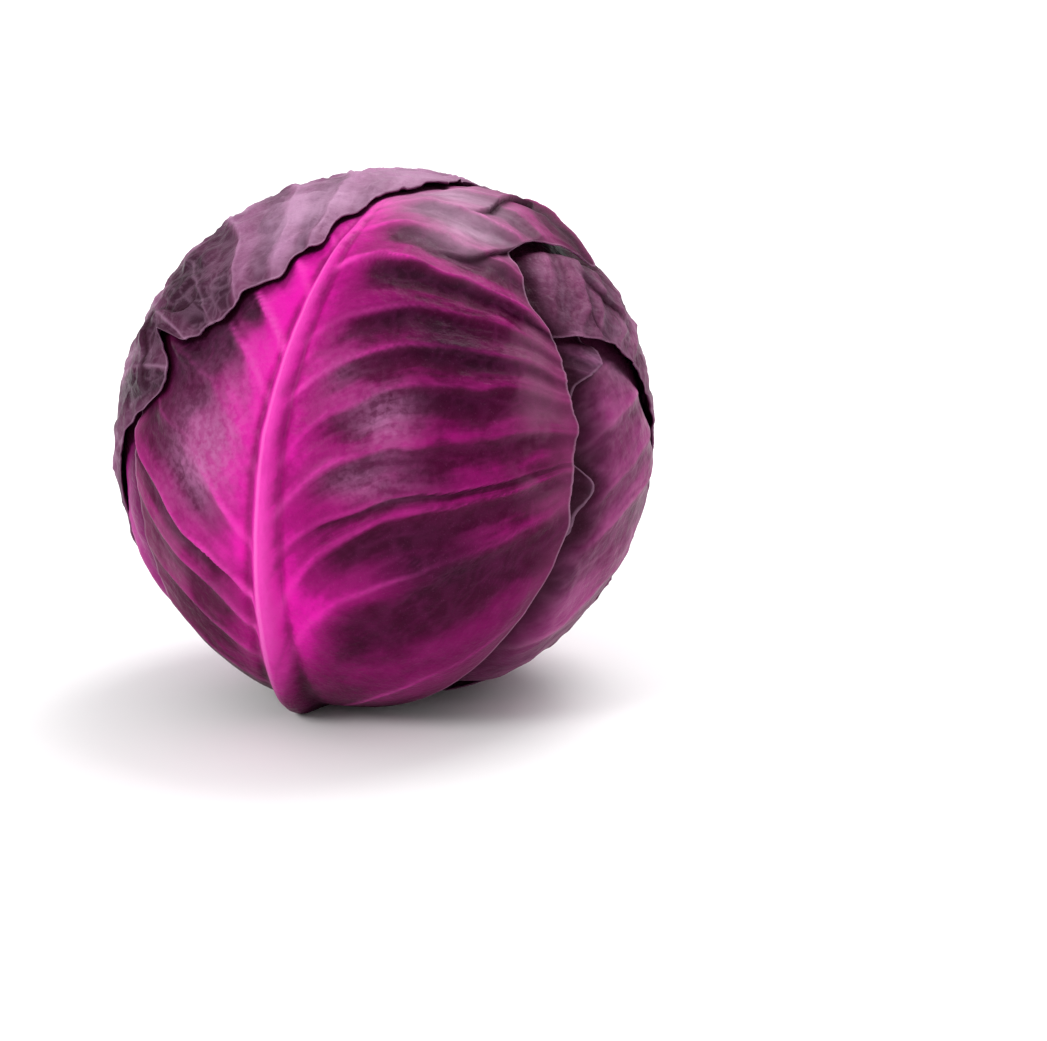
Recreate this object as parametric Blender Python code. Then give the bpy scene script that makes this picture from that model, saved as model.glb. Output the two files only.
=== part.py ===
"""A red cabbage head: wrapper leaves and inner leaves around a tapered stalk, resting on its cut stump.

Every leaf is a thin shell in a stack of layers counted from the outside in. All layers are centred on the heart,
and each leaf is drawn in towards it wherever the ones before it lie on top, so leaves never meet.
Metres, +Z up. The origin is on the resting plane under the middle of the head.
"""

import math
from dataclasses import dataclass
from dataclasses import field

import bmesh
import bpy
import numpy as np
from mathutils import Vector
from mathutils.bvhtree import BVHTree

# Driving dimensions, in metres and degrees.
HEAD_RADIUS = 0.0805
HEAD_HEIGHT = 0.0780  # from the resting plane to the middle of the head
HEAD_LEAN = 12.0  # the head leans this far towards +X
HEART_RISE = 0.0200  # from the middle of the head up its axis to the heart
HEART_RADIUS = 0.0240  # where nothing presses on it
HEART_CLEARANCE = 0.10  # share of the way in from the innermost leaves
CUT_RADIUS = 0.0148  # the stump's cut face
STALK_WAIST_RADIUS = 0.0125
STALK_TOP_RADIUS = 0.0070
STALK_CLEARANCE = 0.0012

# Leaf thicknesses and clearances, as shares of the distance from the heart.
WRAPPER_LAMINA = 0.0125
WRAPPER_GAP = 0.0170
INNER_LAMINA = 0.0260
INNER_GAP = 0.0510
RIB_HEIGHT = 0.0400  # how far a wrapper's midrib stands out at the leaf's base
RIB_HALF_WIDTH = 5.0  # degrees, at the leaf's base
DRAPE = 17.0  # degrees past its edge over which a leaf still holds down the one beneath
LEAST_CLEARANCE = 0.0012  # between one leaf and the next

INNER_COUNT = 13
INNER_TURN = 137.5  # degrees from one inner leaf to the next
INNER_HALF_WIDTHS = (40.0, 66.0, 74.0, 74.0, 66.0)
INNER_TIPS = (112.0, 92.0)  # the outermost and the innermost of them

# Stations across a leaf, closer together over the midrib, and how many there are along it.
RIBBED_COLUMNS = (0.0, 0.05, 0.12, 0.29, 0.46, 0.64, 0.82, 1.0)
PLAIN_COLUMNS = (0.0, 0.17, 0.34, 0.51, 0.68, 0.84, 1.0)
WRAPPER_ROWS = 17
INNER_COLUMNS = (0.0, 0.26, 0.51, 0.76, 1.0)
INNER_ROWS = 13

# Broad swellings of the head: azimuth, latitude, height as a share of the radius, and sharpness.
SWELLINGS = (
    (105.0, 48.0, 0.040, 7.0),
    (-24.0, -68.0, 0.030, 22.0),
    (-98.0, 17.0, -0.012, 3.0),
)

LEAN = math.radians(HEAD_LEAN)
AXIS = np.array([math.sin(LEAN), 0.0, math.cos(LEAN)])
RIGHT = np.array([math.cos(LEAN), 0.0, -math.sin(LEAN)])
FRONT = np.array([0.0, -1.0, 0.0])
MIDDLE = np.array([0.0, 0.0, HEAD_HEIGHT])
HEART = MIDDLE + AXIS * HEART_RISE


def head_direction(azimuth, latitude):
    """A direction in the head's own frame: azimuth 0 faces -Y and turns towards +X, latitude 90 is its top."""
    a, b = math.radians(azimuth), math.radians(latitude)
    return (RIGHT * math.sin(a) + FRONT * math.cos(a)) * math.cos(b) + AXIS * math.sin(b)


def floor_distance(d):
    """Distance from the heart to the resting plane along unit directions d, very long where they never reach it."""
    return np.where(d[..., 2] < -0.05, HEART[2] / np.maximum(-d[..., 2], 0.05), 10.0)


def surface_distance(d):
    """Distance from the heart to the head's outer surface along unit directions d, flattened where it rests."""
    offset = MIDDLE - HEART
    along = d @ offset
    r = along + np.sqrt(along**2 + HEAD_RADIUS**2 - offset @ offset)
    for azimuth, latitude, height, sharpness in SWELLINGS:
        r = r * (1 + height * np.exp(sharpness * (d @ head_direction(azimuth, latitude) - 1)))
    return np.minimum(r, floor_distance(d))


def smooth_curve(y, values):
    """A smooth curve through values at stations spaced evenly over -1 to 1."""
    values = np.asarray(values, float)
    place = (np.clip(y, -1, 1) + 1) / 2 * (len(values) - 1)
    i = np.clip(np.floor(place).astype(int), 0, len(values) - 2)
    f = place - i
    padded = np.concatenate([[2 * values[0] - values[1]], values, [2 * values[-1] - values[-2]]])
    a, b, c, e = padded[i], padded[i + 1], padded[i + 2], padded[i + 3]
    return b + 0.5 * f * (c - a + f * (2 * a - 5 * b + 4 * c - e + f * (3 * (b - c) + e - a)))


@dataclass
class Leaf:
    """One leaf. Its widths are half-widths in degrees at stations spaced evenly from its base to its tip."""

    name: str
    azimuth: float
    cant: float
    base: float  # degrees along the leaf from the head's equator, at its foot
    tip: float
    left: tuple
    right: tuple
    squareness: float = 2.6
    wave: float = 0.03
    lamina: float = WRAPPER_LAMINA
    gap: float = WRAPPER_GAP
    rib_height: float = RIB_HEIGHT
    columns: tuple = RIBBED_COLUMNS
    rows: int = WRAPPER_ROWS
    colour: tuple = (0.30, 0.05, 0.22)
    frame: tuple = field(init=False)

    def __post_init__(self):
        a, c = math.radians(self.azimuth), math.radians(self.cant)
        level = FRONT * math.cos(a) + RIGHT * math.sin(a)
        side = RIGHT * math.cos(a) - FRONT * math.sin(a)
        up = AXIS * math.cos(c) + side * math.sin(c)
        self.frame = (level, up, side * math.cos(c) - AXIS * math.sin(c))

    def half_width(self, x, y):
        left, right = (smooth_curve(y, w) for w in (self.left, self.right))
        return np.where(x < 0, left, right)

    def outline(self, x, y):
        """How far out the leaf's edge lies in the direction of x, y."""
        angle = np.arctan2(y, x)
        n = self.squareness
        edge = (np.abs(np.cos(angle)) ** n + np.abs(np.sin(angle)) ** n) ** (-1 / n)
        turn = math.radians(self.azimuth)
        ripple = np.sin(5 * angle + turn) + 0.7 * np.sin(9 * angle - 2 * turn) + 0.5 * np.sin(14 * angle + 3 * turn)
        away_from_foot = np.clip(1 + 1.5 * (y / (np.hypot(x, y) + 1e-9) + 0.6), 0, 1)
        return edge * (1 + self.wave * ripple * away_from_foot)

    def direction(self, x, y):
        """Unit direction of the leaf's point x, y: y from -1 at the foot to 1 at the tip, x across."""
        s = np.radians((self.base + self.tip) / 2 + y * (self.tip - self.base) / 2)
        t = np.radians(x * self.half_width(x, y))
        level, up, side = self.frame
        along = np.cos(s)[..., None] * level + np.sin(s)[..., None] * up
        return along * np.cos(t)[..., None] + np.sin(t)[..., None] * side

    def place(self, d):
        """The leaf's x, y in unit directions d, and the angle across the leaf."""
        level, up, side = self.frame
        middle, half = (self.base + self.tip) / 2, (self.tip - self.base) / 2
        s = np.degrees(np.arctan2(d @ up, d @ level))
        y = ((s - middle + 180) % 360 - 180) / half
        t = np.degrees(np.arcsin(np.clip(d @ side, -1, 1)))
        return t / self.half_width(t, y), y, t

    def past_edge(self, d):
        """Degrees beyond the leaf's edge, negative inside it."""
        x, y, _ = self.place(d)
        rho = np.hypot(x, y) + 1e-9
        half = (self.tip - self.base) / 2
        per_degree = np.hypot(x / self.half_width(x, y), y / half) / rho + 1e-9
        return (rho / self.outline(x, y) - 1) / per_degree

    def hold(self, d):
        """1 under the leaf, falling smoothly to 0 past its edge."""
        f = np.clip(1 - (self.past_edge(d) - 2.5) / DRAPE, 0, 1)
        return f * f * (3 - 2 * f)

    def rib(self, d):
        """How far the midrib stands out, as a share: high and broad at the foot, gone before the tip."""
        _, y, t = self.place(d)
        taper = np.clip((0.8 - y) / 1.8, 0, 1)
        width = RIB_HALF_WIDTH * (0.4 + 0.6 * taper)
        return self.rib_height * taper**1.2 * np.exp(-1.4 * (t / width) ** 2)


# The wrapper leaves, outermost first.
WRAPPERS = (
    Leaf("wrapper_leaf_crown", -125, 0, -79, 95, (38, 58, 66, 66, 66), (38, 60, 66, 68, 68), 4.0,
         colour=(0.36, 0.22, 0.36)),
    Leaf("wrapper_leaf_front", -25, -4.5, -80, 118, (20, 33, 58, 64, 58), (45, 70, 66, 47, 60),
         colour=(0.42, 0.03, 0.27)),
    Leaf("wrapper_leaf_right", 125, 0, -80, 102, (34, 47, 50, 57, 62), (34, 52, 60, 60, 60), 3.6,
         colour=(0.25, 0.06, 0.19)),
    Leaf("wrapper_leaf_ruffled", -2, 3, -80, 84, (40, 56, 60, 60, 50), (34, 43, 44, 45, 42), 3.0, 0.04,
         columns=PLAIN_COLUMNS, colour=(0.22, 0.05, 0.17)),
    Leaf("wrapper_leaf_side", 28, 0, -80, 80, (38, 56, 60, 58, 50), (30, 42, 40, 46, 44), 3.0,
         columns=PLAIN_COLUMNS, colour=(0.20, 0.02, 0.14)),
    Leaf("wrapper_leaf_flank", 84, 4, -80, 92, (40, 60, 64, 60, 52), (36, 52, 60, 60, 52), 3.0,
         colour=(0.24, 0.06, 0.19)),
    Leaf("wrapper_leaf_left", -82, -3, -80, 90, (40, 60, 66, 64, 56), (40, 58, 60, 58, 50), 3.0,
         colour=(0.18, 0.04, 0.14)),
    Leaf("wrapper_leaf_back", 178, 3, -80, 104, (40, 62, 70, 68, 58), (40, 62, 68, 66, 58), 3.0,
         colour=(0.33, 0.03, 0.24)),
)


def stalk_profile():
    """Radius and height along the head's axis, from the cut face up."""
    foot = HEAD_HEIGHT / math.cos(LEAN)
    top = foot + HEART_RISE - HEART_RADIUS - 0.0015
    return (
        (CUT_RADIUS, 0.0),
        (CUT_RADIUS - 0.0005, 0.0050),
        (STALK_WAIST_RADIUS, 0.0150),
        (STALK_WAIST_RADIUS + 0.0010, 0.0300),
        (STALK_WAIST_RADIUS - 0.0015, 0.0480),
        (STALK_TOP_RADIUS + 0.0010, 0.0650),
        (STALK_TOP_RADIUS - 0.0030, top - 0.0010),
    )


def inner_leaves():
    """Leaves round and round the stalk, each a golden angle on from the last and starting clear of the stalk."""
    leaves = []
    foot = (HEAD_HEIGHT / math.cos(LEAN)) + HEART_RISE
    for k in range(INNER_COUNT):
        share = k / (INNER_COUNT - 1)
        reach = foot * (0.84 - 0.50 * share)
        radius_there = np.interp(foot - reach, *np.array(stalk_profile()).T[::-1])
        clear = math.degrees(math.asin((radius_there + STALK_CLEARANCE + 0.0010) / reach))
        violet = 0.75 - 0.55 * share
        leaves.append(
            Leaf(
                f"inner_leaf_{k + 1:02d}",
                60 + INNER_TURN * (k + 1),
                4 * math.sin(k),
                clear - 90,
                INNER_TIPS[0] + (INNER_TIPS[1] - INNER_TIPS[0]) * share,
                INNER_HALF_WIDTHS,
                INNER_HALF_WIDTHS,
                3.0,
                0.02,
                INNER_LAMINA,
                INNER_GAP,
                0.0,
                INNER_COLUMNS,
                INNER_ROWS,
                (0.62 - 0.30 * violet, 0.50 - 0.46 * violet, 0.56 - 0.36 * violet),
            )
        )
    return leaves


def clear_scene():
    for obj in list(bpy.data.objects):
        bpy.data.objects.remove(obj)


def material(name, colour, roughness):
    made = bpy.data.materials.new(name)
    made.use_nodes = True
    shader = made.node_tree.nodes["Principled BSDF"]
    shader.inputs["Base Color"].default_value = (*colour, 1.0)
    shader.inputs["Roughness"].default_value = roughness
    shader.inputs["Metallic"].default_value = 0.0
    return made


def add_object(name, points, faces, colour, roughness):
    """A closed mesh, shaded smooth."""
    mesh = bpy.data.meshes.new(name)
    mesh.from_pydata([tuple(p) for p in points], [], faces)
    mesh.shade_smooth()
    mesh.materials.append(material(name, colour, roughness))
    obj = bpy.data.objects.new(name, mesh)
    bpy.context.scene.collection.objects.link(obj)
    return obj


def depth(above, d):
    """What share of the surface's distance is left below the leaves above, along directions d."""
    left = np.ones(d.shape[:-1])
    for leaf in above:
        left = left * (1 - leaf.hold(d) * (leaf.lamina + leaf.gap))
    return left


def sky(above, d):
    """1 where none of the leaves above lies over d, 0 where one does."""
    clear = np.ones(d.shape[:-1])
    for leaf in above:
        clear = clear * (1 - leaf.hold(d))
    return clear


def leaf_grid(leaf):
    """Points x, y over the leaf: a square grid bent into a disc, then drawn out to the leaf's outline."""
    half = np.array(leaf.columns)
    u = np.concatenate([-half[:0:-1], half])
    v = np.linspace(-1, 1, leaf.rows)
    v, u = np.meshgrid(v, u, indexing="ij")
    x, y = u * np.sqrt(1 - v**2 / 2), v * np.sqrt(1 - u**2 / 2)
    edge = leaf.outline(x, y)
    return x * edge, y * edge, np.maximum(np.abs(u), np.abs(v))


def grid_faces(rows, columns):
    """Triangles over a grid, and the ring of its border points in order."""
    faces = []
    for i in range(rows - 1):
        for j in range(columns - 1):
            a, b = i * columns + j, i * columns + j + 1
            c, e = b + columns, a + columns
            # The diagonal runs the way that keeps both triangles wide at the corners of the grid.
            if (i < (rows - 1) / 2) == (j < (columns - 1) / 2):
                faces += ((a, b, c), (a, c, e))
            else:
                faces += ((a, b, e), (b, c, e))
    rim = [(0, j) for j in range(columns)] + [(i, columns - 1) for i in range(1, rows)]
    rim += [(rows - 1, j) for j in range(columns - 2, -1, -1)] + [(i, 0) for i in range(rows - 2, 0, -1)]
    return faces, [i * columns + j for i, j in rim]


def press_in(directions, distances, faces, tree):
    """Distances from the heart, shortened until the faces clear the leaves in the tree."""
    steps = 6
    spots = [(i, j, steps - i - j) for i in range(steps + 1) for j in range(steps + 1 - i)]
    distances = distances.copy()
    for _ in range(3):
        points = directions * distances[:, None]
        drop = np.zeros(len(distances))
        for face in faces:
            for weights in spots:
                spot = np.array(weights) / steps @ points[list(face)]
                reach = np.linalg.norm(spot)
                hit = tree.ray_cast(Vector(HEART), Vector(spot / reach))[3]
                excess = 0.0 if hit is None else reach - (hit - LEAST_CLEARANCE)
                if excess > 0:
                    for corner in face:
                        drop[corner] = max(drop[corner], excess)
        distances = distances - drop
    return distances


def build_leaf(leaf, above, tree):
    """The leaf as a closed shell, laid under the leaves above it."""
    x, y, out = leaf_grid(leaf)
    faces, ring = grid_faces(*x.shape)
    d = leaf.direction(x, y).reshape(-1, 3)
    level = surface_distance(d) * depth(above, d)
    outer = np.minimum(level * (1 + leaf.rib(d) * sky(above, d)), floor_distance(d))
    if above:
        outer = press_in(d, outer, faces, tree)
    inner = np.minimum(level, outer) * (1 - leaf.lamina * (1 - 0.35 * out.reshape(-1) ** 4))
    points = np.concatenate([HEART + d * r[:, None] for r in (outer, inner)])
    under = len(d)
    faces = faces + [tuple(under + k for k in reversed(face)) for face in faces]
    for a, b in zip(ring, ring[1:] + ring[:1]):
        faces += [(b, a, under + a), (b, under + a, under + b)]
    return points, faces


def build_stalk():
    """The tapered stalk, cut level at its foot."""
    sides = 28
    points, faces = [], []
    foot = MIDDLE - AXIS * HEAD_HEIGHT / math.cos(LEAN)
    profile = stalk_profile()
    for radius, height in profile:
        for k in range(sides):
            turn = 2 * math.pi * k / sides
            point = foot + AXIS * height + (RIGHT * math.cos(turn) + FRONT * math.sin(turn)) * radius
            if height == 0.0:
                point = point - AXIS * point[2] / AXIS[2]
            points.append(point)
    for i in range(len(profile) - 1):
        for k in range(sides):
            a, b = i * sides + k, i * sides + (k + 1) % sides
            faces.append((b, a, a + sides, b + sides))
    faces.append(tuple(range(sides)))
    faces.append(tuple(reversed(range((len(profile) - 1) * sides, len(profile) * sides))))
    return add_object("stalk", points, faces, (0.78, 0.72, 0.58), 0.55)


def build_heart(above, tree):
    """The tight bud at the head's middle, pressed into shape by the innermost leaves."""
    mesh = bmesh.new()
    bmesh.ops.create_icosphere(mesh, subdivisions=3, radius=1.0)
    ball = np.array([tuple(v.co) for v in mesh.verts])
    faces = [tuple(v.index for v in f.verts) for f in mesh.faces]
    mesh.free()
    d = ball / np.linalg.norm(ball, axis=1)[:, None]
    r = np.minimum(surface_distance(d) * depth(above, d) * (1 - HEART_CLEARANCE), HEART_RADIUS)
    r = press_in(d, r, faces, tree)
    return add_object("heart", HEART + d * r[:, None], faces, (0.62, 0.42, 0.55), 0.5)


def main():
    clear_scene()
    stack = list(WRAPPERS) + inner_leaves()
    made, points, faces = [], [], []
    for index, leaf in enumerate(stack):
        tree = BVHTree.FromPolygons(points, faces)
        leaf_points, leaf_faces = build_leaf(leaf, stack[:index], tree)
        made.append(add_object(leaf.name, leaf_points, leaf_faces, leaf.colour, 0.45))
        faces += [tuple(len(points) + k for k in face) for face in leaf_faces]
        points += [Vector(p) for p in leaf_points]
    made.append(build_stalk())
    made.append(build_heart(stack, BVHTree.FromPolygons(points, faces)))
    # The origin goes under the middle of the head's bounding box.
    corners = np.concatenate([np.array([tuple(v.co) for v in obj.data.vertices]) for obj in made])
    shift = -(corners.min(axis=0) + corners.max(axis=0)) / 2
    for obj in made:
        for vertex in obj.data.vertices:
            vertex.co.x += shift[0]
            vertex.co.y += shift[1]


if __name__ == "__main__":
    main()
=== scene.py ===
# %% [markdown]
# # A red cabbage head
#
# A cabbage is a bundle of leaves. Each leaf grows from a short thick stalk, and each is folded over the
# ones inside it, so what we see from outside is a handful of large wrapper leaves with their edges lying
# on one another. The lesson builds those leaves one by one as thin closed shells, then the stalk, and
# then gives them their colours.

# %% Load the frame
import math

import bpy
import numpy as np
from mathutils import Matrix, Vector


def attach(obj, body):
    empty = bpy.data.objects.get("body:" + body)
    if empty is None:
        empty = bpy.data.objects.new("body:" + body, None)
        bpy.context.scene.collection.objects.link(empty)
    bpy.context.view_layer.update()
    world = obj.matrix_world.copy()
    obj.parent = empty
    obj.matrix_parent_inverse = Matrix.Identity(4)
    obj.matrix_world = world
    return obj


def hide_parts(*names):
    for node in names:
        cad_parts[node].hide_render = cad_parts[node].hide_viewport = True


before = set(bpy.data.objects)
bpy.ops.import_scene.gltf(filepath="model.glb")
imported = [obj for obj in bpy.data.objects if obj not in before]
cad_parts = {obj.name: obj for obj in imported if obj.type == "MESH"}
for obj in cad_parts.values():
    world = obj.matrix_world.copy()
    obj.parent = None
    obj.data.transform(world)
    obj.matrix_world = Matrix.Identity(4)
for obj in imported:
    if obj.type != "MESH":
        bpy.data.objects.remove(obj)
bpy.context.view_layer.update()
print("frame nodes:", len(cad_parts))

# %% [markdown]
# ## The head's own directions
#
# The head leans a little to one side, so it helps to have its own up, right and front. Every place on a
# leaf is then a direction from the heart, where all the layers are centred, and a distance along that
# direction. Leaves can't pass through each other if the distances stay in order, which is why this beats
# pushing loose sheets around.

# %% Directions and the head's outer surface
HEAD_RADIUS = 0.0805
HEAD_HEIGHT = 0.0780
HEAD_LEAN = math.radians(12.0)
HEART_RISE = 0.0200
HEAD_SHIFT = -0.0003

AXIS = np.array([math.sin(HEAD_LEAN), 0.0, math.cos(HEAD_LEAN)])
RIGHT = np.array([math.cos(HEAD_LEAN), 0.0, -math.sin(HEAD_LEAN)])
FRONT = np.array([0.0, -1.0, 0.0])
MIDDLE = np.array([HEAD_SHIFT, 0.0, HEAD_HEIGHT])
HEART = MIDDLE + AXIS * HEART_RISE

# Azimuth and latitude of each broad swelling, its height as a share of the radius, and how narrow it is.
SWELLINGS = ((105, 48, 0.040, 7), (-24, -68, 0.030, 22), (-98, 17, -0.012, 3))
# A direction that points down less steeply than this never meets the floor.
SHALLOW = 0.05
NO_FLOOR = 10.0


def head_direction(azimuth, latitude):
    a, b = math.radians(azimuth), math.radians(latitude)
    return (RIGHT * math.sin(a) + FRONT * math.cos(a)) * math.cos(b) + AXIS * math.sin(b)


def floor_distance(d):
    """Distance from the heart down to the resting plane along unit directions d."""
    return np.where(d[..., 2] < -SHALLOW, HEART[2] / np.maximum(-d[..., 2], SHALLOW), NO_FLOOR)


def surface_distance(d):
    """Distance from the heart to the head's outer surface along unit directions d."""
    offset = MIDDLE - HEART
    along = d @ offset
    r = along + np.sqrt(along**2 + HEAD_RADIUS**2 - offset @ offset)
    for azimuth, latitude, height, narrow in SWELLINGS:
        r = r * (1 + height * np.exp(narrow * (d @ head_direction(azimuth, latitude) - 1)))
    return np.minimum(r, floor_distance(d))


crown_distance = float(surface_distance(AXIS))
print("heart at", np.round(HEART * 1000, 1), "mm, crown", round(crown_distance * 1000, 1), "mm above it")


# %% [markdown]
# ## Small tools: smooth steps, smooth noise and cells
#
# Leaves are never quite regular. Blender has noise textures for looks, but shape needs the same kind of
# noise as numbers. `smooth_noise` mixes random values at the corners of a grid of cubes, and `cells`
# finds how far a point is from the border between the two nearest of many scattered seeds, which is just
# how the finest veins divide a leaf.


# %% Noise as numbers
def step(low, high, x):
    f = np.clip((x - low) / (high - low), 0, 1)
    return f * f * (3 - 2 * f)


# Large odd numbers that scatter nearby corners far apart.
SCATTER = (73856093, 19349663, 83492791)
SEED_SCATTER, LAST_SCATTER = 2654435761, 1274126177
TWENTY_BITS = 0xFFFFF


def hashed(corner, seed):
    """A repeatable random number from 0 to 1 for each whole-number corner."""
    mixed = corner[..., 0] * SCATTER[0] ^ corner[..., 1] * SCATTER[1] ^ corner[..., 2] * SCATTER[2]
    mixed = mixed ^ seed * SEED_SCATTER
    mixed = (mixed ^ (mixed >> 13)) * LAST_SCATTER
    mixed = mixed ^ (mixed >> 16)
    return (mixed & TWENTY_BITS) / TWENTY_BITS


def smooth_noise(points, size, seed):
    """Noise from -1 to 1 whose lumps are about `size` metres across."""
    p = points / size
    base = np.floor(p).astype(np.int64)
    f = p - base
    f = f * f * (3 - 2 * f)
    total = 0.0
    for i in (0, 1):
        for j in (0, 1):
            for k in (0, 1):
                weight = np.abs(1 - i - f[..., 0]) * np.abs(1 - j - f[..., 1]) * np.abs(1 - k - f[..., 2])
                total = total + weight * hashed(base + np.array([i, j, k]), seed)
    return total * 2 - 1


def cells(points, size, seed):
    """Distance from the cell's border, from 0 on it to about 1 in the middle, and a tone for each cell."""
    p = points / size
    base = np.floor(p).astype(np.int64)
    near = np.full(p.shape[:-1], np.inf)
    second, tone = near.copy(), near.copy()
    for i in (-1, 0, 1):
        for j in (-1, 0, 1):
            for k in (-1, 0, 1):
                corner = base + np.array([i, j, k])
                spot = corner + np.stack([hashed(corner, seed + n) for n in (1, 2, 3)], -1)
                distance = np.linalg.norm(spot - p, axis=-1)
                second = np.minimum(second, np.maximum(near, distance))
                tone = np.where(distance < near, hashed(corner, seed + 9), tone)
                near = np.minimum(near, distance)
    return second - near, tone


# %% [markdown]
# A leaf's width and the line of its midrib are given at a few stations from foot to tip. A curve through
# them has to pass every station without corners, and a Catmull-Rom curve does that with nothing but its
# four nearest values.


# %% Curves through stations
def smooth_curve(y, values):
    """A smooth curve through values at stations spaced evenly over -1 to 1."""
    values = np.asarray(values, float)
    place = (np.clip(y, -1, 1) + 1) / 2 * (len(values) - 1)
    i = np.clip(np.floor(place).astype(int), 0, len(values) - 2)
    f = place - i
    padded = np.concatenate([[2 * values[0] - values[1]], values, [2 * values[-1] - values[-2]]])
    a, b, c, e = padded[i], padded[i + 1], padded[i + 2], padded[i + 3]
    return b + 0.5 * f * (c - a + f * (2 * a - 5 * b + 4 * c - e + f * (3 * (b - c) + e - a)))


print("noise test:", np.round(smooth_noise(np.array([[0.01, 0.02, 0.03]]), 0.005, 1), 3))

# %% [markdown]
# ## What a leaf is
#
# A leaf has a midrib that runs from its foot at the stalk up and over the head, and two halves spread to
# its sides. Here a place on it is two angles: how far along the midrib, and how far across from it. Its
# edge is a rounded square with ripples, stretched to the half-widths given from foot to tip. Where an
# edge shows, noted angles `edge` draw it instead. `hold` says where the leaf presses on the one beneath:
# fully under it, and fading out a little way past its edge.

# %% What a leaf has unless it says otherwise
MM = 0.001
# Shares of the head's radius: one leaf's thickness, and the gap under it.
LAMINA, GAP = 0.0070, 0.0045
# Degrees past its edge at which a leaf no longer presses on the next.
DRAPE = 15.0

# Heights are in millimetres, and widths and reaches in degrees unless they say otherwise.
# The setting of painted shade is how many degrees past a leaf's edge the painted shade on the leaf beneath
# reaches.
PLAIN_LOOK = dict(
    edge=(), press=0.0, painted_shade=2.0, spots=(), pleats=(),
    rib_line=(0, 0, 0), rib_height=3.2, rib_width=2.5, rib_tip=0.35, rib_fades=0.0, groove=0.0,
    vein=0.55, vein_reach=40, net=0.22, net_size=0.014, streak=0.22,
    pucker=1.1, lumps=0.8, quilt=0.35, small=0.55,
    lift=1.2, lift_reach=2.6, crinkle=0.6,
    glow=0.25, glow_reach=16, dark=0.7, bloom=0.05,
)
print("settings a leaf can change:", len(PLAIN_LOOK))

# %% [markdown]
# The edge is kept as a table of its distance from the leaf's middle all the way round. Noted points make
# it sharp where it should be, a short running average takes off the last corners, and its teeth reach
# only a little way in, so the rows of the mesh inside stay evenly spaced and never fold over one another.

# %% The leaf
ROUND = 2 * math.pi
TABLE_STEPS = 1440
EDGE_WINDOW, EDGE_ROUNDING = 24, 5.5
SOFT_ROUNDING = 36.0
TEETH_REACH = 8
RIPPLES = (5, 8, 13, 21, 34, 55)
# Radians past the last noted point in which the edge goes back to its plain shape.
EDGE_RETURN = 0.18


def wrapped(angle):
    """The same angle, from minus half a turn to half a turn."""
    return (angle + math.pi) % ROUND - math.pi


def bell(steps, width):
    """Weights of a running average over steps on both sides, adding up to 1."""
    weights = np.exp(-((steps / width) ** 2))
    return weights / weights.sum()


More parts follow.
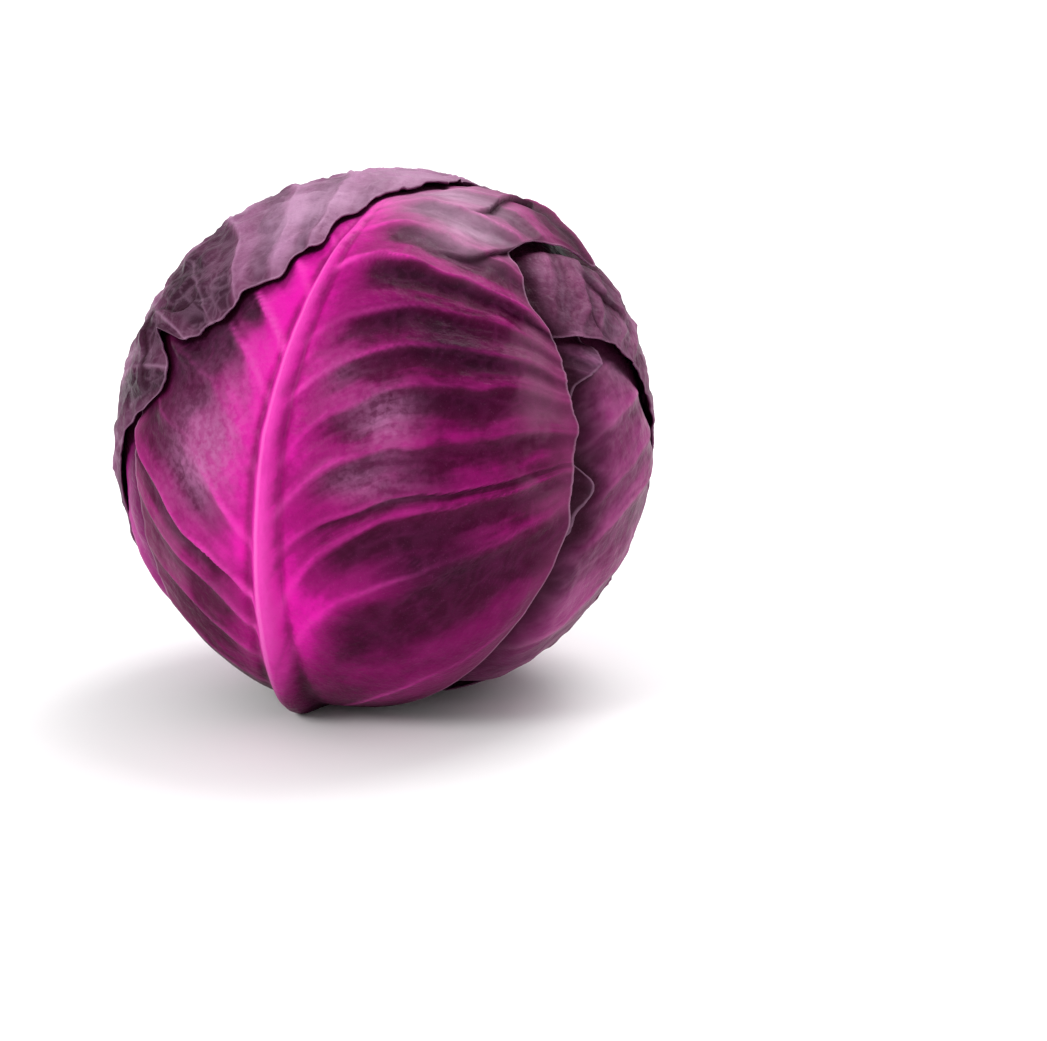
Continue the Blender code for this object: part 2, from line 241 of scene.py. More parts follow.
class Leaf:
    """A leaf's place round the stalk, its reach from foot to tip, its half-widths, its edge and its look."""

    def __init__(self, node, slot, azimuth, cant, base, tip, left, right, squareness, ripple, seed, **look):
        self.node, self.slot, self.seed = node, slot, seed
        self.base, self.tip, self.left, self.right = base, tip, left, right
        self.squareness, self.ripple = squareness, ripple
        self.look = {**PLAIN_LOOK, **look}
        a, c = math.radians(azimuth), math.radians(cant)
        level = FRONT * math.cos(a) + RIGHT * math.sin(a)
        side = RIGHT * math.cos(a) - FRONT * math.sin(a)
        self.frame = (level, AXIS * math.cos(c) + side * math.sin(c), side * math.cos(c) - AXIS * math.sin(c))
        dice = np.random.default_rng(seed)
        self.waves = [(n, dice.uniform(0, 6.28), dice.uniform(0.6, 1.2)) for n in RIPPLES]
        self.facing, self.turns, self.ratios = 0.0, [], []
        if self.look["edge"]:
            self.fit_edge(np.array(self.look["edge"], float))

    def noise(self, points, size, layer):
        """Smooth noise that is this leaf's own, different in each layer."""
        return smooth_noise(points, size, self.seed + layer)

    def half_width(self, x, y):
        return np.where(x < 0, smooth_curve(y, self.left), smooth_curve(y, self.right))

    def plain_edge(self, angle):
        """A rounded square with lobes and notches, as a distance from the leaf's middle."""
        n = self.squareness
        edge = (np.abs(np.cos(angle)) ** n + np.abs(np.sin(angle)) ** n) ** (-1 / n)
        wave = 0.0
        for count, turn, strength in self.waves:
            lobes = np.abs(np.sin(count * angle / 2 + turn)) - 0.64
            wave = wave + strength * (RIPPLES[0] / count) ** 0.75 * lobes
        away_from_foot = np.clip(1 + 1.5 * (np.sin(angle) + 0.55), 0, 1)
        return edge * (1 + self.ripple * wave * away_from_foot)

    def fit_edge(self, notes):
        """Draws the edge through the noted angles s, t, and lets it go back to plain beyond them."""
        y = (notes[:, 0] - (self.base + self.tip) / 2) * 2 / (self.tip - self.base)
        x = notes[:, 1] / self.half_width(notes[:, 1], y)
        angle = np.arctan2(y, x)
        ratio = np.hypot(x, y) / self.plain_edge(angle)
        self.facing = math.atan2(np.sin(angle).sum(), np.cos(angle).sum())
        angle = wrapped(angle - self.facing)
        order = np.argsort(angle)
        angle, ratio = angle[order], ratio[order]
        # The noted angles must grow, so one that turns back is moved just past the one before.
        angle = np.maximum.accumulate(angle + np.arange(len(angle)) * 1e-4)
        turns = np.concatenate([[angle[0] - EDGE_RETURN], angle, [angle[-1] + EDGE_RETURN]])
        ratios = np.concatenate([[1.0], ratio, [1.0]])
        self.turns = np.linspace(-math.pi, math.pi, TABLE_STEPS + 1)
        even = np.interp(self.turns, turns, ratios)
        weights = bell(np.arange(-EDGE_WINDOW, EDGE_WINDOW + 1), EDGE_ROUNDING)
        self.ratios = np.convolve(np.pad(even, EDGE_WINDOW, mode="edge"), weights, mode="valid")

    def outline(self, x, y):
        """How far out the edge lies in the direction of x, y."""
        angle = np.arctan2(y, x)
        edge = self.plain_edge(angle)
        if len(self.turns):
            edge = edge * np.interp(wrapped(angle - self.facing), self.turns, self.ratios)
        return edge

    def without_teeth(self):
        """The same edge with its teeth smoothed away, as angles and distances."""
        turns = np.linspace(-math.pi, math.pi, TABLE_STEPS + 1) + self.facing
        full = self.outline(np.cos(turns), np.sin(turns))[:-1]
        half = TABLE_STEPS // 2
        weights = np.roll(bell(np.arange(-half, half), SOFT_ROUNDING), half)
        soft = np.fft.irfft(np.fft.rfft(full) * np.fft.rfft(weights), TABLE_STEPS)
        return turns, np.append(soft, soft[0])

    def drawn_out(self, x, y):
        """Moves the points of a disc so that its rim lies on the edge."""
        turns, soft = self.without_teeth()
        inside = np.interp((np.arctan2(y, x) - turns[0]) % ROUND, turns - turns[0], soft)
        scale = inside + (self.outline(x, y) - inside) * np.hypot(x, y) ** TEETH_REACH
        return (x * scale).ravel(), (y * scale).ravel()

    def angles(self, x, y):
        s = (self.base + self.tip) / 2 + y * (self.tip - self.base) / 2
        return s, x * self.half_width(x, y)

    def direction(self, s, t):
        s, t = np.radians(s), np.radians(t)
        level, up, side = self.frame
        along = np.cos(s)[..., None] * level + np.sin(s)[..., None] * up
        return along * np.cos(t)[..., None] + np.sin(t)[..., None] * side

    def past_edge(self, d):
        """Degrees beyond the edge, negative inside it, for unit directions d."""
        level, up, side = self.frame
        middle, half = (self.base + self.tip) / 2, (self.tip - self.base) / 2
        y = ((np.degrees(np.arctan2(d @ up, d @ level)) - middle + 180) % 360 - 180) / half
        t = np.degrees(np.arcsin(np.clip(d @ side, -1, 1)))
        x = t / self.half_width(t, y)
        rho = np.hypot(x, y) + 1e-9
        per_degree = np.hypot(x / self.half_width(x, y), y / half) / rho + 1e-9
        return (rho / self.outline(x, y) - 1) / per_degree

    def hold(self, past):
        """How hard the leaf presses on the next, from 1 under it to 0 well past its edge."""
        return 1 - step(0.6, DRAPE, past)


print("an edge is kept at", TABLE_STEPS, "steps round the leaf")

# %% [markdown]
# A leaf lies under all those listed before it. Each of them presses it down by its own thickness and a
# gap, and near their edges its own relief is flattened, so that nothing pokes through. The same distances
# say where a leaf gets painted shade beside the edge of the one above.


# %% What lies under what
def buried(above, d):
    """The share of the way out left under the leaves above, how open the sky is, and the painted shade beside
    their edges.
    """
    share, fine, broad, painted_shade = np.ones(len(d)), np.ones(len(d)), np.ones(len(d)), np.zeros(len(d))
    for leaf in above:
        past = leaf.past_edge(d)
        # Painted shade on the leaf beneath, darkest just beside this leaf's edge.
        painted_shade = np.maximum(painted_shade, np.clip(1.5 - 1.5 * past / leaf.look["painted_shade"], 0, 1))
        share = share * (1 - leaf.hold(past) * (LAMINA + GAP + leaf.look["press"]))
        fine = fine * step(0.0, 2.5, past)
        broad = broad * step(1.0, 9.0, past)
    return share, fine, broad, painted_shade


print("a leaf is", round(LAMINA * HEAD_RADIUS * 1000, 2), "mm thick")

# %% [markdown]
# ## Midrib, side veins and the folds between them
#
# The back of a cabbage leaf, which faces out, carries the midrib as a stout ridge, thick at the foot and
# gone near the tip. Side veins leave it in a curve, first along it and then outwards. Between them the
# thin blade puckers: it rises slowly from one vein and drops sharply under the next. All this is one
# height above the smooth shell, and it is only ever outwards, so the leaf beneath needs no room for it.


# %% Midrib
def midrib(leaf, t, y):
    """The midrib's height in metres, and its masks."""
    look = leaf.look
    off = t - smooth_curve(y, look["rib_line"])
    across = np.abs(off)
    foot = np.clip((1 - y) / 2, 0, 1)
    foot = foot * (1 - look["rib_fades"] * step(0.05, 0.42, y))
    width = look["rib_tip"] + look["rib_width"] * foot**1.4
    shape = np.exp(-0.9 * np.abs(off / width) ** 2.8)
    groove = np.exp(-(((across - 1.45 * width - 0.5) / (0.35 * width + 0.35)) ** 2))
    groove = groove * step(-1.0, 0.6, foot * 2 - 0.6)
    height = look["rib_height"] * MM * foot**1.4 * shape
    # rib_side is the place across the midrib, which the skin uses for a painted highlight down its left side.
    colour, lit_side = shape * foot**0.4, np.clip(off / width, -2, 2)
    return dict(off=off, across=across, rib=height, rib_mask=colour, groove=groove, rib_side=lit_side)


print("a midrib stands", PLAIN_LOOK["rib_height"], "mm high at its foot")

# %% [markdown]
# The side veins come as a list: where each leaves the midrib, how far it climbs, and how soon. For a
# point between two veins, what matters is its share of the way from one to the next, because the blade's
# folds and its bands of colour both follow it. Each band gets its own strength, passed on smoothly so
# that no seam shows.


# %% Side veins
OTHER_HALF = 50  # added to the number of a left band, so that the two halves don't match
BEYOND = 30  # degrees past the last vein where one more closes the last band


def flow_of(leaf, s, off):
    """The number of the vein below each point, the share of the way to the next, and the distance."""
    number, phase, distance = np.zeros(len(s)), np.zeros(len(s)), np.full(len(s), np.inf)
    for key, mine, first_number in (("veins_left", off < 0, OTHER_HALF), ("veins_right", off >= 0, 0)):
        if not mine.any():
            continue
        across, here = np.abs(off[mine]), s[mine]
        veins = sorted(leaf.look[key])
        veins = [(veins[0][0] - BEYOND, *veins[0][1:]), *veins, (veins[-1][0] + BEYOND, *veins[-1][1:])]
        lines = np.stack([s0 + rise * (1 - np.exp(-across / reach)) for s0, rise, reach in veins])
        lines = np.maximum.accumulate(lines, axis=0)
        slopes = np.stack([rise / reach * np.exp(-across / reach) for _, rise, reach in veins])
        below = np.clip((lines <= here).sum(axis=0) - 1, 0, len(veins) - 2)
        spot = np.arange(len(here))
        low, high = lines[below, spot], lines[below + 1, spot]
        squeeze = np.cos(np.radians(across))
        away = np.abs(here - lines) * squeeze / np.sqrt(1 + (slopes * squeeze) ** 2)
        number[mine] = below + first_number
        phase[mine] = np.clip((here - low) / np.maximum(high - low, 0.5), 0, 1)
        distance[mine] = away.min(axis=0)
    return number, phase, distance


def band_strength(leaf, number, phase, low, high):
    """A strength for each band between veins, drawn at random and passed on smoothly from band to band."""

    def drawn(n):
        corner = np.stack([n, n * 0 + 3, n * 0], -1).astype(np.int64)
        return low + (high - low) * hashed(corner, leaf.seed + 40)

    return drawn(number) * (1 - phase) + drawn(number + 1) * phase


print("bands are numbered from 0 on the right and from", OTHER_HALF, "on the left")

# %% [markdown]
# Now the two meet. A little noise bends the veins, thins them in places and lets them die away far from
# the midrib. The pucker is a slow bow from each vein to three quarters of the way, a steep fall, and a
# crest on the vein itself.

# %% The relief of one leaf
STEEP = 0.74  # share of the way to the next vein where the blade's fall begins


def vein_relief(leaf, s, t, y, points):
    """The midrib's height, and the veins, puckers and streaks as masks, by name."""
    found = midrib(leaf, t, y)
    off, across = found["off"], found["across"]
    warp = 2.6 * leaf.noise(points, 0.026, 5) + 0.9 * leaf.noise(points, 0.009, 6)
    number, phase, distance = flow_of(leaf, s + warp * step(3, 18, across), off)
    strength = band_strength(leaf, number, phase, 0.45, 1.15)
    fade = np.exp(-across / leaf.look["vein_reach"])
    width = 0.35 + 0.65 * np.exp(-across / 14)
    patchy = np.clip(0.55 + 0.55 * leaf.noise(points, 0.017, 11), 0.1, 1)
    vein = np.exp(-((distance / width) ** 2)) * fade * step(0.3, 3.0, across) * strength * patchy
    crest = np.exp(-phase / 0.16) + np.exp(-(1 - phase) / 0.13)
    bow = np.where(phase < STEEP, 1 - step(0.0, STEEP, phase) ** 0.8, step(STEEP, 1.0, phase))
    bow = bow * 0.75 + 0.25 * crest
    pucker = bow * strength * step(2, 13, across) * (1 - 0.45 * step(44, 66, across))
    flow = number + phase
    place = np.stack([flow * 5.0, off / 9.0, number * 0], -1)
    streak = leaf.noise(place, 1.0, 12) * 0.6 + leaf.noise(place * 2.3, 1.0, 13) * 0.4
    return dict(found, vein=vein, pucker=pucker, phase=phase, flow=flow, streak=streak, strength=strength)


print("a fold falls over the last", round(100 * (1 - STEEP)), "% of the way to the next vein")

# %% [markdown]
# ## Pleats
#
# Where a leaf has more blade than room, it folds over itself. A pleat is drawn here as a line on the
# leaf. On one side the blade rises towards the line, and just past the line it drops. Pushing the raised
# lip sideways over the low side makes a real overhang, with a real shadow in it, and a painted shadow is
# laid along the low side of the line as well.


# %% Pleats
PATH_SAMPLES = 80
LIP = 0.9  # degrees on each side of the line over which the blade rises


def pleat_shift(pleat, s, t):
    """Height in millimetres, sideways shift in degrees and painted shadow that a pleat gives to points at s,
    t.
    """
    stations = np.linspace(-1, 1, PATH_SAMPLES)
    path = np.stack([smooth_curve(stations, column) for column in np.array(pleat["path"], float).T], -1)
    tangent = np.gradient(path, axis=0)
    tangent = tangent / np.linalg.norm(tangent, axis=1)[:, None]
    gaps = np.hypot(s[:, None] - path[:, 0], t[:, None] - path[:, 1])
    near = gaps.argmin(axis=1)
    toward_high = np.stack([tangent[near, 1], -tangent[near, 0]], -1) * pleat["high"]
    signed = (s - path[near, 0]) * toward_high[:, 0] + (t - path[near, 1]) * toward_high[:, 1]
    beyond = np.sqrt(np.maximum(gaps.min(axis=1) ** 2 - signed**2, 0))
    along = near / (PATH_SAMPLES - 1)
    strength = step(0.0, pleat["start"], along) * (1 - step(1 - pleat["end"], 1.0, along))
    strength = strength * (1 - step(1.0, 4.0, beyond))
    high_side = np.maximum(signed - LIP, 0)
    lip = step(-LIP, LIP, signed) * np.exp(-high_side / pleat["reach"])
    # The low side swells again away from the line, which leaves a groove along it.
    hollow = step(0.5, 6.0, -signed) * np.exp(-np.maximum(-signed - 6, 0) / pleat["reach"]) * 0.45
    # A painted shadow just past the line on the low side, under the lip.
    shadow = np.exp(-(((signed + 1.0) / 1.2) ** 2))
    height = pleat["height"] * strength * (lip + hollow)
    # The lip leans out over the groove.
    amount = -step(-LIP, LIP, signed) * np.exp(-((high_side / 3.0) ** 2)) * strength * pleat["over"]
    return height, toward_high[:, 0] * amount, toward_high[:, 1] * amount, strength * shadow


def pleats_at(leaf, s, t):
    """What a leaf's pleats do together: height in metres, sideways shifts in degrees, and painted shadow."""
    height, shift_s, shift_t, shadow = (np.zeros(len(s)) for _ in range(4))
    for pleat in leaf.look["pleats"]:
        rise, move_s, move_t, line = pleat_shift(pleat, s, t)
        height += rise * MM
        shift_s += move_s
        shift_t += move_t
        shadow = np.maximum(shadow, line)
    return height, shift_s, shift_t, shadow


straight = dict(path=[(0, -20), (0, 0), (0, 20)], high=1, height=2.0, reach=4, over=1.0, start=0.3, end=0.3)
rises = pleat_shift(straight, np.linspace(-4, 4, 9), np.zeros(9))[0]
print("a pleat's height in mm, across it:", np.round(rises, 2))

# %% [markdown]
# ## From leaf to mesh
#
# A square grid is bent into a disc and drawn out to the leaf's edge. That keeps rows of faces running
# along the midrib, and they are packed closer there and at the edge, where the fine shape is. The outside
# and the inside are two such grids joined by a narrow wall, so each leaf is a closed shell with a real
# thickness. Masks for the colours are stored as attributes on the points, and the two grids lie side by
# side in a UV map.


# %% A shell from two grids
# Where the UV map puts the outside, and how far to the right of it the inside goes.
UV_SIZE, UV_CORNER, UV_INSIDE = (0.48, 0.98), (0.01, 0.01), (0.5, 0.0)
ROW_PULL = -0.25


def spread(count, pull):
    """Stations from -1 to 1, closer together in the middle and at both ends where pull is above 0."""
    a = np.linspace(-1, 1, count)
    return np.sign(a) * (np.abs(a) - pull * np.sin(2 * np.pi * np.abs(a)) / (2 * np.pi))


def disc_grid(rows, columns, column_pull):
    """Places in a square grid, and the same places bent into a disc."""
    v, u = np.meshgrid(spread(rows, ROW_PULL), spread(columns, column_pull), indexing="ij")
    square = np.stack([u.ravel(), v.ravel()], -1)
    return square, u * np.sqrt(1 - v**2 / 2), v * np.sqrt(1 - u**2 / 2)


def shell_faces(rows, columns):
    """The faces of two grids of points, one after the other, and of the wall round them."""
    under = rows * columns
    index = np.arange(under).reshape(rows, columns)
    quads = np.stack([index[:-1, :-1], index[:-1, 1:], index[1:, 1:], index[1:, :-1]], -1).reshape(-1, 4)
    ring = np.concatenate([index[0, :], index[1:, -1], index[-1, -2::-1], index[-2:0:-1, 0]])
    following = np.roll(ring, -1)
    wall = np.stack([following, ring, ring + under, following + under], -1)
    return np.concatenate([quads, quads[:, ::-1] + under, wall])


def add_masks(mesh, masks):
    """Stores numbers on the points of a mesh, for its material to read."""
    for key, values in masks.items():
        layer = mesh.attributes.new(key, "FLOAT", "POINT")
        layer.data.foreach_set("value", np.ascontiguousarray(values, np.float32))


def leaf_mesh(name, points, shape, masks, square):
    """A closed shell from an outer and an inner grid of the same shape, with one set of masks for both."""
    faces = shell_faces(*shape)
    mesh = bpy.data.meshes.new(name)
    mesh.vertices.add(len(points))
    mesh.vertices.foreach_set("co", points.astype(np.float32).ravel())
    mesh.loops.add(faces.size)
    mesh.loops.foreach_set("vertex_index", faces.astype(np.int32).ravel())
    mesh.polygons.add(len(faces))
    mesh.polygons.foreach_set("loop_start", np.arange(0, faces.size, 4, dtype=np.int32))
    mesh.update(calc_edges=True)
    mesh.polygons.foreach_set("use_smooth", np.ones(len(faces), bool))
    add_masks(mesh, {key: np.tile(values, 2) for key, values in masks.items()})
    add_masks(mesh, {"inside": np.repeat([0.0, 1.0], len(points) // 2)})
    outside = (square * 0.5 + 0.5) * np.array(UV_SIZE) + np.array(UV_CORNER)
    places = np.concatenate([outside, outside + np.array(UV_INSIDE)])
    uv = mesh.uv_layers.new(name="OFBake")
    uv.data.foreach_set("uv", places[faces.ravel()].astype(np.float32).ravel())
    mesh.validate()
    return mesh


def placed(name, mesh, node):
    """A piece made from a mesh, riding on the body, with its CAD node."""
    piece = bpy.data.objects.new(name, mesh)
    bpy.context.scene.collection.objects.link(piece)
    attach(piece, "root")
    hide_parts(node)
    return piece


print("a shell of 3 by 3 points has", len(shell_faces(3, 3)), "faces")

# %% [markdown]
# ## The blade of one leaf
#
# The blade's height comes in two sizes. The broad part is its puckers, lumps and bulges, which push the
# whole shell out. The fine part is its veins, the net between them and small streaks, which only its
# outside has. Soft round spots let one place be brighter, paler, duller or more raised than the rest of
# the leaf; some dark spots are painted shade, and most pale ones a painted sheen.

# %% Blade heights
# Shade spots are darker skin, and in places painted shade; pale spots and wax spots are partly a painted
# sheen.
SPOT_KINDS = ("glow", "shade", "bloom", "grey", "lift", "bulge", "calm", "pale")


def spots_at(leaf, s, t):
    """The leaf's soft spots, added up by kind. Each has a place s, t, two widths and an amount."""
    spots = {kind: np.zeros(len(s)) for kind in SPOT_KINDS}
    for kind, s0, t0, wide_s, wide_t, amount in leaf.look["spots"]:
        spots[kind] += amount * np.exp(-(((s - s0) / wide_s) ** 2) - ((t - t0) / wide_t) ** 2)
    return spots


def net_of(leaf, on_skin):
    """The finest veins: ridges between cells of two sizes, with each large cell's inside and its tone."""
    size = leaf.look["net_size"]
    wander = np.stack([leaf.noise(on_skin, 0.006, layer) for layer in (31, 32, 33)], -1) * 0.0022
    large, tone = cells(on_skin + wander * 2, size, leaf.seed)
    little, _ = cells(on_skin + wander, size * 0.42, leaf.seed + 4)
    ridge = (1 - step(0.0, 0.13, large)) * (0.6 + 0.4 * leaf.noise(on_skin, 0.02, 14))
    return dict(net=np.maximum(ridge, (1 - step(0.0, 0.16, little)) * 0.45), large=large, tone=tone)


def blade_heights(leaf, on_skin, inset, relief, spots):
    """Broad and fine heights of the blade, in millimetres."""
    look = leaf.look
    calm = 1 - np.clip(spots["calm"], 0, 0.9)
    lumps = 0.5 + 0.5 * leaf.noise(on_skin, 0.024, 2)
    small = 0.5 + 0.5 * leaf.noise(on_skin, 0.008, 3)
    broad = look["pucker"] * relief["pucker"] * calm + look["lumps"] * lumps
    broad = broad * (0.35 + 0.65 * step(0.0, 6.0, inset)) + look["quilt"] * step(0.0, 0.55, relief["large"])
    fine = look["vein"] * relief["vein"] * calm + look["net"] * relief["net"]
    fine = fine + look["small"] * small + 0.16 * leaf.noise(on_skin, 0.0038, 21)
    fine = fine + look["streak"] * relief["streak"] * step(4, 14, relief["across"])
    return broad + spots["bulge"], fine - look["groove"] * relief["groove"]


def edge_height(leaf, on_skin, inset, spots):
    """How far the edge curls and crinkles outwards, in metres."""
    look = leaf.look
    curl = look["lift"] * (0.55 + 0.75 * leaf.noise(on_skin, 0.030, 7)) + spots["lift"]
    curl = curl * np.exp(-((inset / look["lift_reach"]) ** 2))
    crinkle = look["crinkle"] * (0.5 + 0.5 * leaf.noise(on_skin, 0.0070, 8)) * np.exp(-inset / 3.2)
    return np.maximum(curl + crinkle, 0) * MM


print("kinds of spot:", ", ".join(SPOT_KINDS))

# %% [markdown]
# ## Where the colours go
#
# The material can't know where a vein is, so each point of the mesh carries numbers that tell it. Bright
# skin lies near the midrib and on the veins, dark skin in bands between them that is partly painted shade,
# wax and a painted sheen in patches, and dry grey along the edge.


# %% Masks for the skin
def skin_masks(leaf, on_skin, relief, spots, fine):
    """Where the skin is bright, where it is dark or painted with shade, where wax or a painted sheen lies on
    it, and where it has dried.
    """
    look = leaf.look
    across, phase, streak = relief["across"], relief["phase"], relief["streak"]
    calm = 1 - np.clip(spots["calm"], 0, 0.9)
    bands = step(5, 17, across) * (0.35 + 0.65 * step(0.45, 1.0, relief["strength"])) * calm
    # Bright skin just past each vein and a dark band after it: skin colour, and partly painted light and
    # shade of the puckers.
    dark_band = step(0.25, 0.72, phase) * (1 - step(0.78, 1.0, phase)) * bands
    glow = look["glow"] + 0.75 * np.exp(-across / look["glow_reach"]) + 0.45 * relief["vein"]
    glow = glow + 0.30 * np.exp(-phase / 0.20) * bands - look["dark"] * dark_band + 0.15 * streak
    # The furrows beside the midrib are darkened as painted shade.
    glow = glow + spots["glow"] - 0.45 * relief["groove"] * look["groove"]
    shade = look["dark"] * 0.95 * dark_band + spots["shade"]
    # Wax in patches, and in some spots a painted sheen.
    bloom = look["bloom"] * (0.5 + 0.5 * leaf.noise(on_skin, 0.014, 9)) + spots["bloom"]
    held = {"glow": glow, "shade": shade, "bloom": bloom, "grey": spots["grey"], "pale": spots["pale"]}
    masks = {key: np.clip(values, 0, 1) for key, values in held.items()}
    masks.update({key: relief[key] * fine for key in ("vein", "net")}, rib=relief["rib_mask"] * fine)
    masks.update(flow=relief["flow"], across=relief["off"], rib_side=relief["rib_side"], tone=relief["tone"])
    return dict(masks, streaky=step(4, 16, across) * calm)


# %% [markdown]
# ## One wrapper leaf
#
# The pleats come first, because they move the points sideways. Then each point goes out from the heart:
# to the head's surface, less what the leaves above take, plus the broad relief, plus the fine relief. The
# inside follows at the blade's thickness, thinner towards the edge and thicker at the foot.

# %% Build a wrapper leaf
WRAPPER_COLUMN_PULL = 0.22


def build_wrapper(leaf, above, rows, columns):
    square, x, y = disc_grid(rows, columns, WRAPPER_COLUMN_PULL)
    x, y = leaf.drawn_out(x, y)
    s, t = leaf.angles(x, y)
    plain = leaf.direction(s, t)
    on_skin, inset = plain * HEAD_RADIUS, -leaf.past_edge(plain)
    spots = spots_at(leaf, s, t)
    pleat_height, shift_s, shift_t, crease = pleats_at(leaf, s, t)
    d = leaf.direction(s + shift_s, t + shift_t)
    share, fine, broad, painted_shade = buried(above, d)
    level = surface_distance(d) * share
    relief = dict(vein_relief(leaf, s, t, y, on_skin), **net_of(leaf, on_skin))
    broad_height, fine_height = blade_heights(leaf, on_skin, inset, relief, spots)
    not_foot = step(-0.98, -0.72, y)
    curled = edge_height(leaf, on_skin, inset, spots) * not_foot
    big = (broad_height * MM * broad + pleat_height * broad**0.5 + curled * fine) * not_foot
    outer = level + big + (relief["rib"] + fine_height * MM * not_foot) * fine
    outer = np.minimum(outer, floor_distance(d))
    thickness = LAMINA * HEAD_RADIUS * (0.40 + 0.60 * step(0.0, 3.0, inset)) * (1 + 0.8 * (1 - not_foot))
    inner = np.minimum(level + big, outer) - thickness
    points = np.concatenate([HEART + d * outer[:, None], HEART + d * inner[:, None]])
    masks = skin_masks(leaf, on_skin, relief, spots, fine)
    # Painted shadow in the pleats, and painted shade beside the edges of the leaves above.
    masks.update(inset=inset, crease=crease, under=painted_shade)
    mesh = leaf_mesh(leaf.node, points, (rows, columns), masks, square)
    piece = placed(leaf.node.replace("wrapper_leaf", "cabbage_leaf"), mesh, leaf.node)
    print(piece.name, len(mesh.polygons), "faces, at most", round(float(outer.max()) / MM, 1), "mm out")
    return piece


# %% [markdown]
# ## The wrapper leaves
#
# Eight leaves show on this head. The crown leaf comes up the back and folds over the top; the broad front
# leaf with the big midrib tucks under it. The others peek out at the right side, the left edge and
# behind. They are listed outermost first, each with its own set of side veins.


# %% Side veins for leaves that hardly show
FIRST_VEIN, LAST_VEIN = -60.0, 88.0


def vein_set(seed, gap=13.5, rise=25.0):
    """Side veins of one half of a leaf: where each leaves the midrib, how far it climbs, and how soon."""
    dice = np.random.default_rng(seed)
    found, s = [], FIRST_VEIN
    while s < LAST_VEIN:
        tipwards = (s - FIRST_VEIN) / (LAST_VEIN - FIRST_VEIN)
        found.append((s, rise * (1.0 - 0.6 * tipwards) * dice.uniform(0.85, 1.15), dice.uniform(12, 19)))
        s += gap * dice.uniform(0.8, 1.2)
    return found


print("side veins in a half:", len(vein_set(21)))

# %% [markdown]
# The crown leaf lies outermost. It has lobes along its lower edge, a curled fold at the left, and a dull,
# dry skin with a net of fine veins. Angles are degrees along the midrib from the level of the heart, and
# across from it.

# %% The crown leaf
CROWN_EDGE = [
    (89, -14), (92, -2), (94.5, 2.2), (92.9, 4.0), (92.1, 10.1), (92.2, 13.7), (90.2, 19.0),
    (88.5, 22.5), (88.3, 26.3), (89.0, 30.5), (90.4, 34.5), (88.2, 36.9), (86.3, 39.0), (86.0, 42.1),
    (86.6, 45.1), (87.9, 46.8), (91.1, 48.7), (91.1, 49.9), (87.0, 51.9), (82.3, 54.1), (81.3, 56.6),
    (82.3, 59.0), (83.5, 61.8), (81.4, 62.4), (74.7, 63.7), (70.4, 64.6), (66.1, 65.8), (61.2, 66.9),
    (59.4, 69.1), (56.5, 70.9), (48.5, 72.3), (41.4, 71.7), (34.6, 71.0), (31.2, 72.1), (27.2, 72.3),
    (20.4, 70.1), (15.2, 69.1), (13.4, 64.8), (10.9, 58.4), (7.5, 58.5), (4.1, 64.0), (-1.6, 67.9),
    (-8.8, 68.7), (-15.8, 68.0), (-22.0, 63.0), (-27.0, 56.0), (-32.0, 49.0), (-39.0, 42.0),
    (-46.0, 36.0), (-54.0, 30), (-60, 26),
]
CROWN = Leaf(
    "wrapper_leaf_crown", "crown_leaf", -125, 0, -79, 95,
    (36, 50, 60, 65, 67, 67, 66, 66, 66), (18, 40, 62, 67, 69, 71, 73, 71, 72), 4.0, 0.016, 11,
    edge=CROWN_EDGE, painted_shade=0.8,
    veins_left=vein_set(21, gap=20, rise=60),
    veins_right=[
        (-62, 60, 75), (-40, 60, 75), (-18, 60, 80), (4, 62, 95), (17, 75, 85), (38, 75, 80), (60, 60, 80),
        (80, 50, 80),
    ],
    rib_height=3.0, vein=0.7, vein_reach=110, net=0.30, net_size=0.0135, streak=0.10,
    pucker=1.0, lumps=1.4, quilt=1.2, lift=0.2, crinkle=0.5,
    glow=0.42, dark=0.75, bloom=0.18,
    spots=[
        ("shade", 29, 53, 12, 17, 1.3), ("shade", 44, 66, 9, 8, 0.7), ("shade", -12, 60, 26, 14, 0.7),
        ("glow", 78, 55, 9, 8, 0.6), ("bloom", 20, 58, 34, 20, -0.5), ("bloom", 70, 38, 16, 16, 0.35),
        ("glow", 25, 55, 16, 16, -0.5), ("glow", -12, 60, 30, 14, -0.35),
        ("pale", 72, 38, 20, 16, 0.55), ("pale", 84, 5, 20, 26, 0.7),
        ("lift", 12, 62, 5, 6, 2.2), ("lift", -8, 68, 14, 6, 0.2), ("lift", -24, 58, 14, 10, -0.6),
        ("bulge", 22, 66, 5, 5, 1.6), ("bulge", 3, 50, 7, 4, 1.2),
    ],
    pleats=[
        dict(path=[(34, 60), (27, 63), (20, 61), (15, 55), (8, 50)],
             high=1, height=1.5, reach=3, over=0.9, start=0.2, end=0.2),
        dict(path=[(12, 44), (3, 52), (-8, 58), (-22, 62)],
             high=-1, height=1.0, reach=3, over=0.5, start=0.2, end=0.3),
    ],
)
print("crown leaf:", len(CROWN_EDGE), "points on its edge,", len(CROWN.look["spots"]), "spots")

# %% [markdown]
# The front leaf carries the stout midrib and the deep bands between its side veins. Its tip runs under
# the crown leaf, and two folds cross it up there.

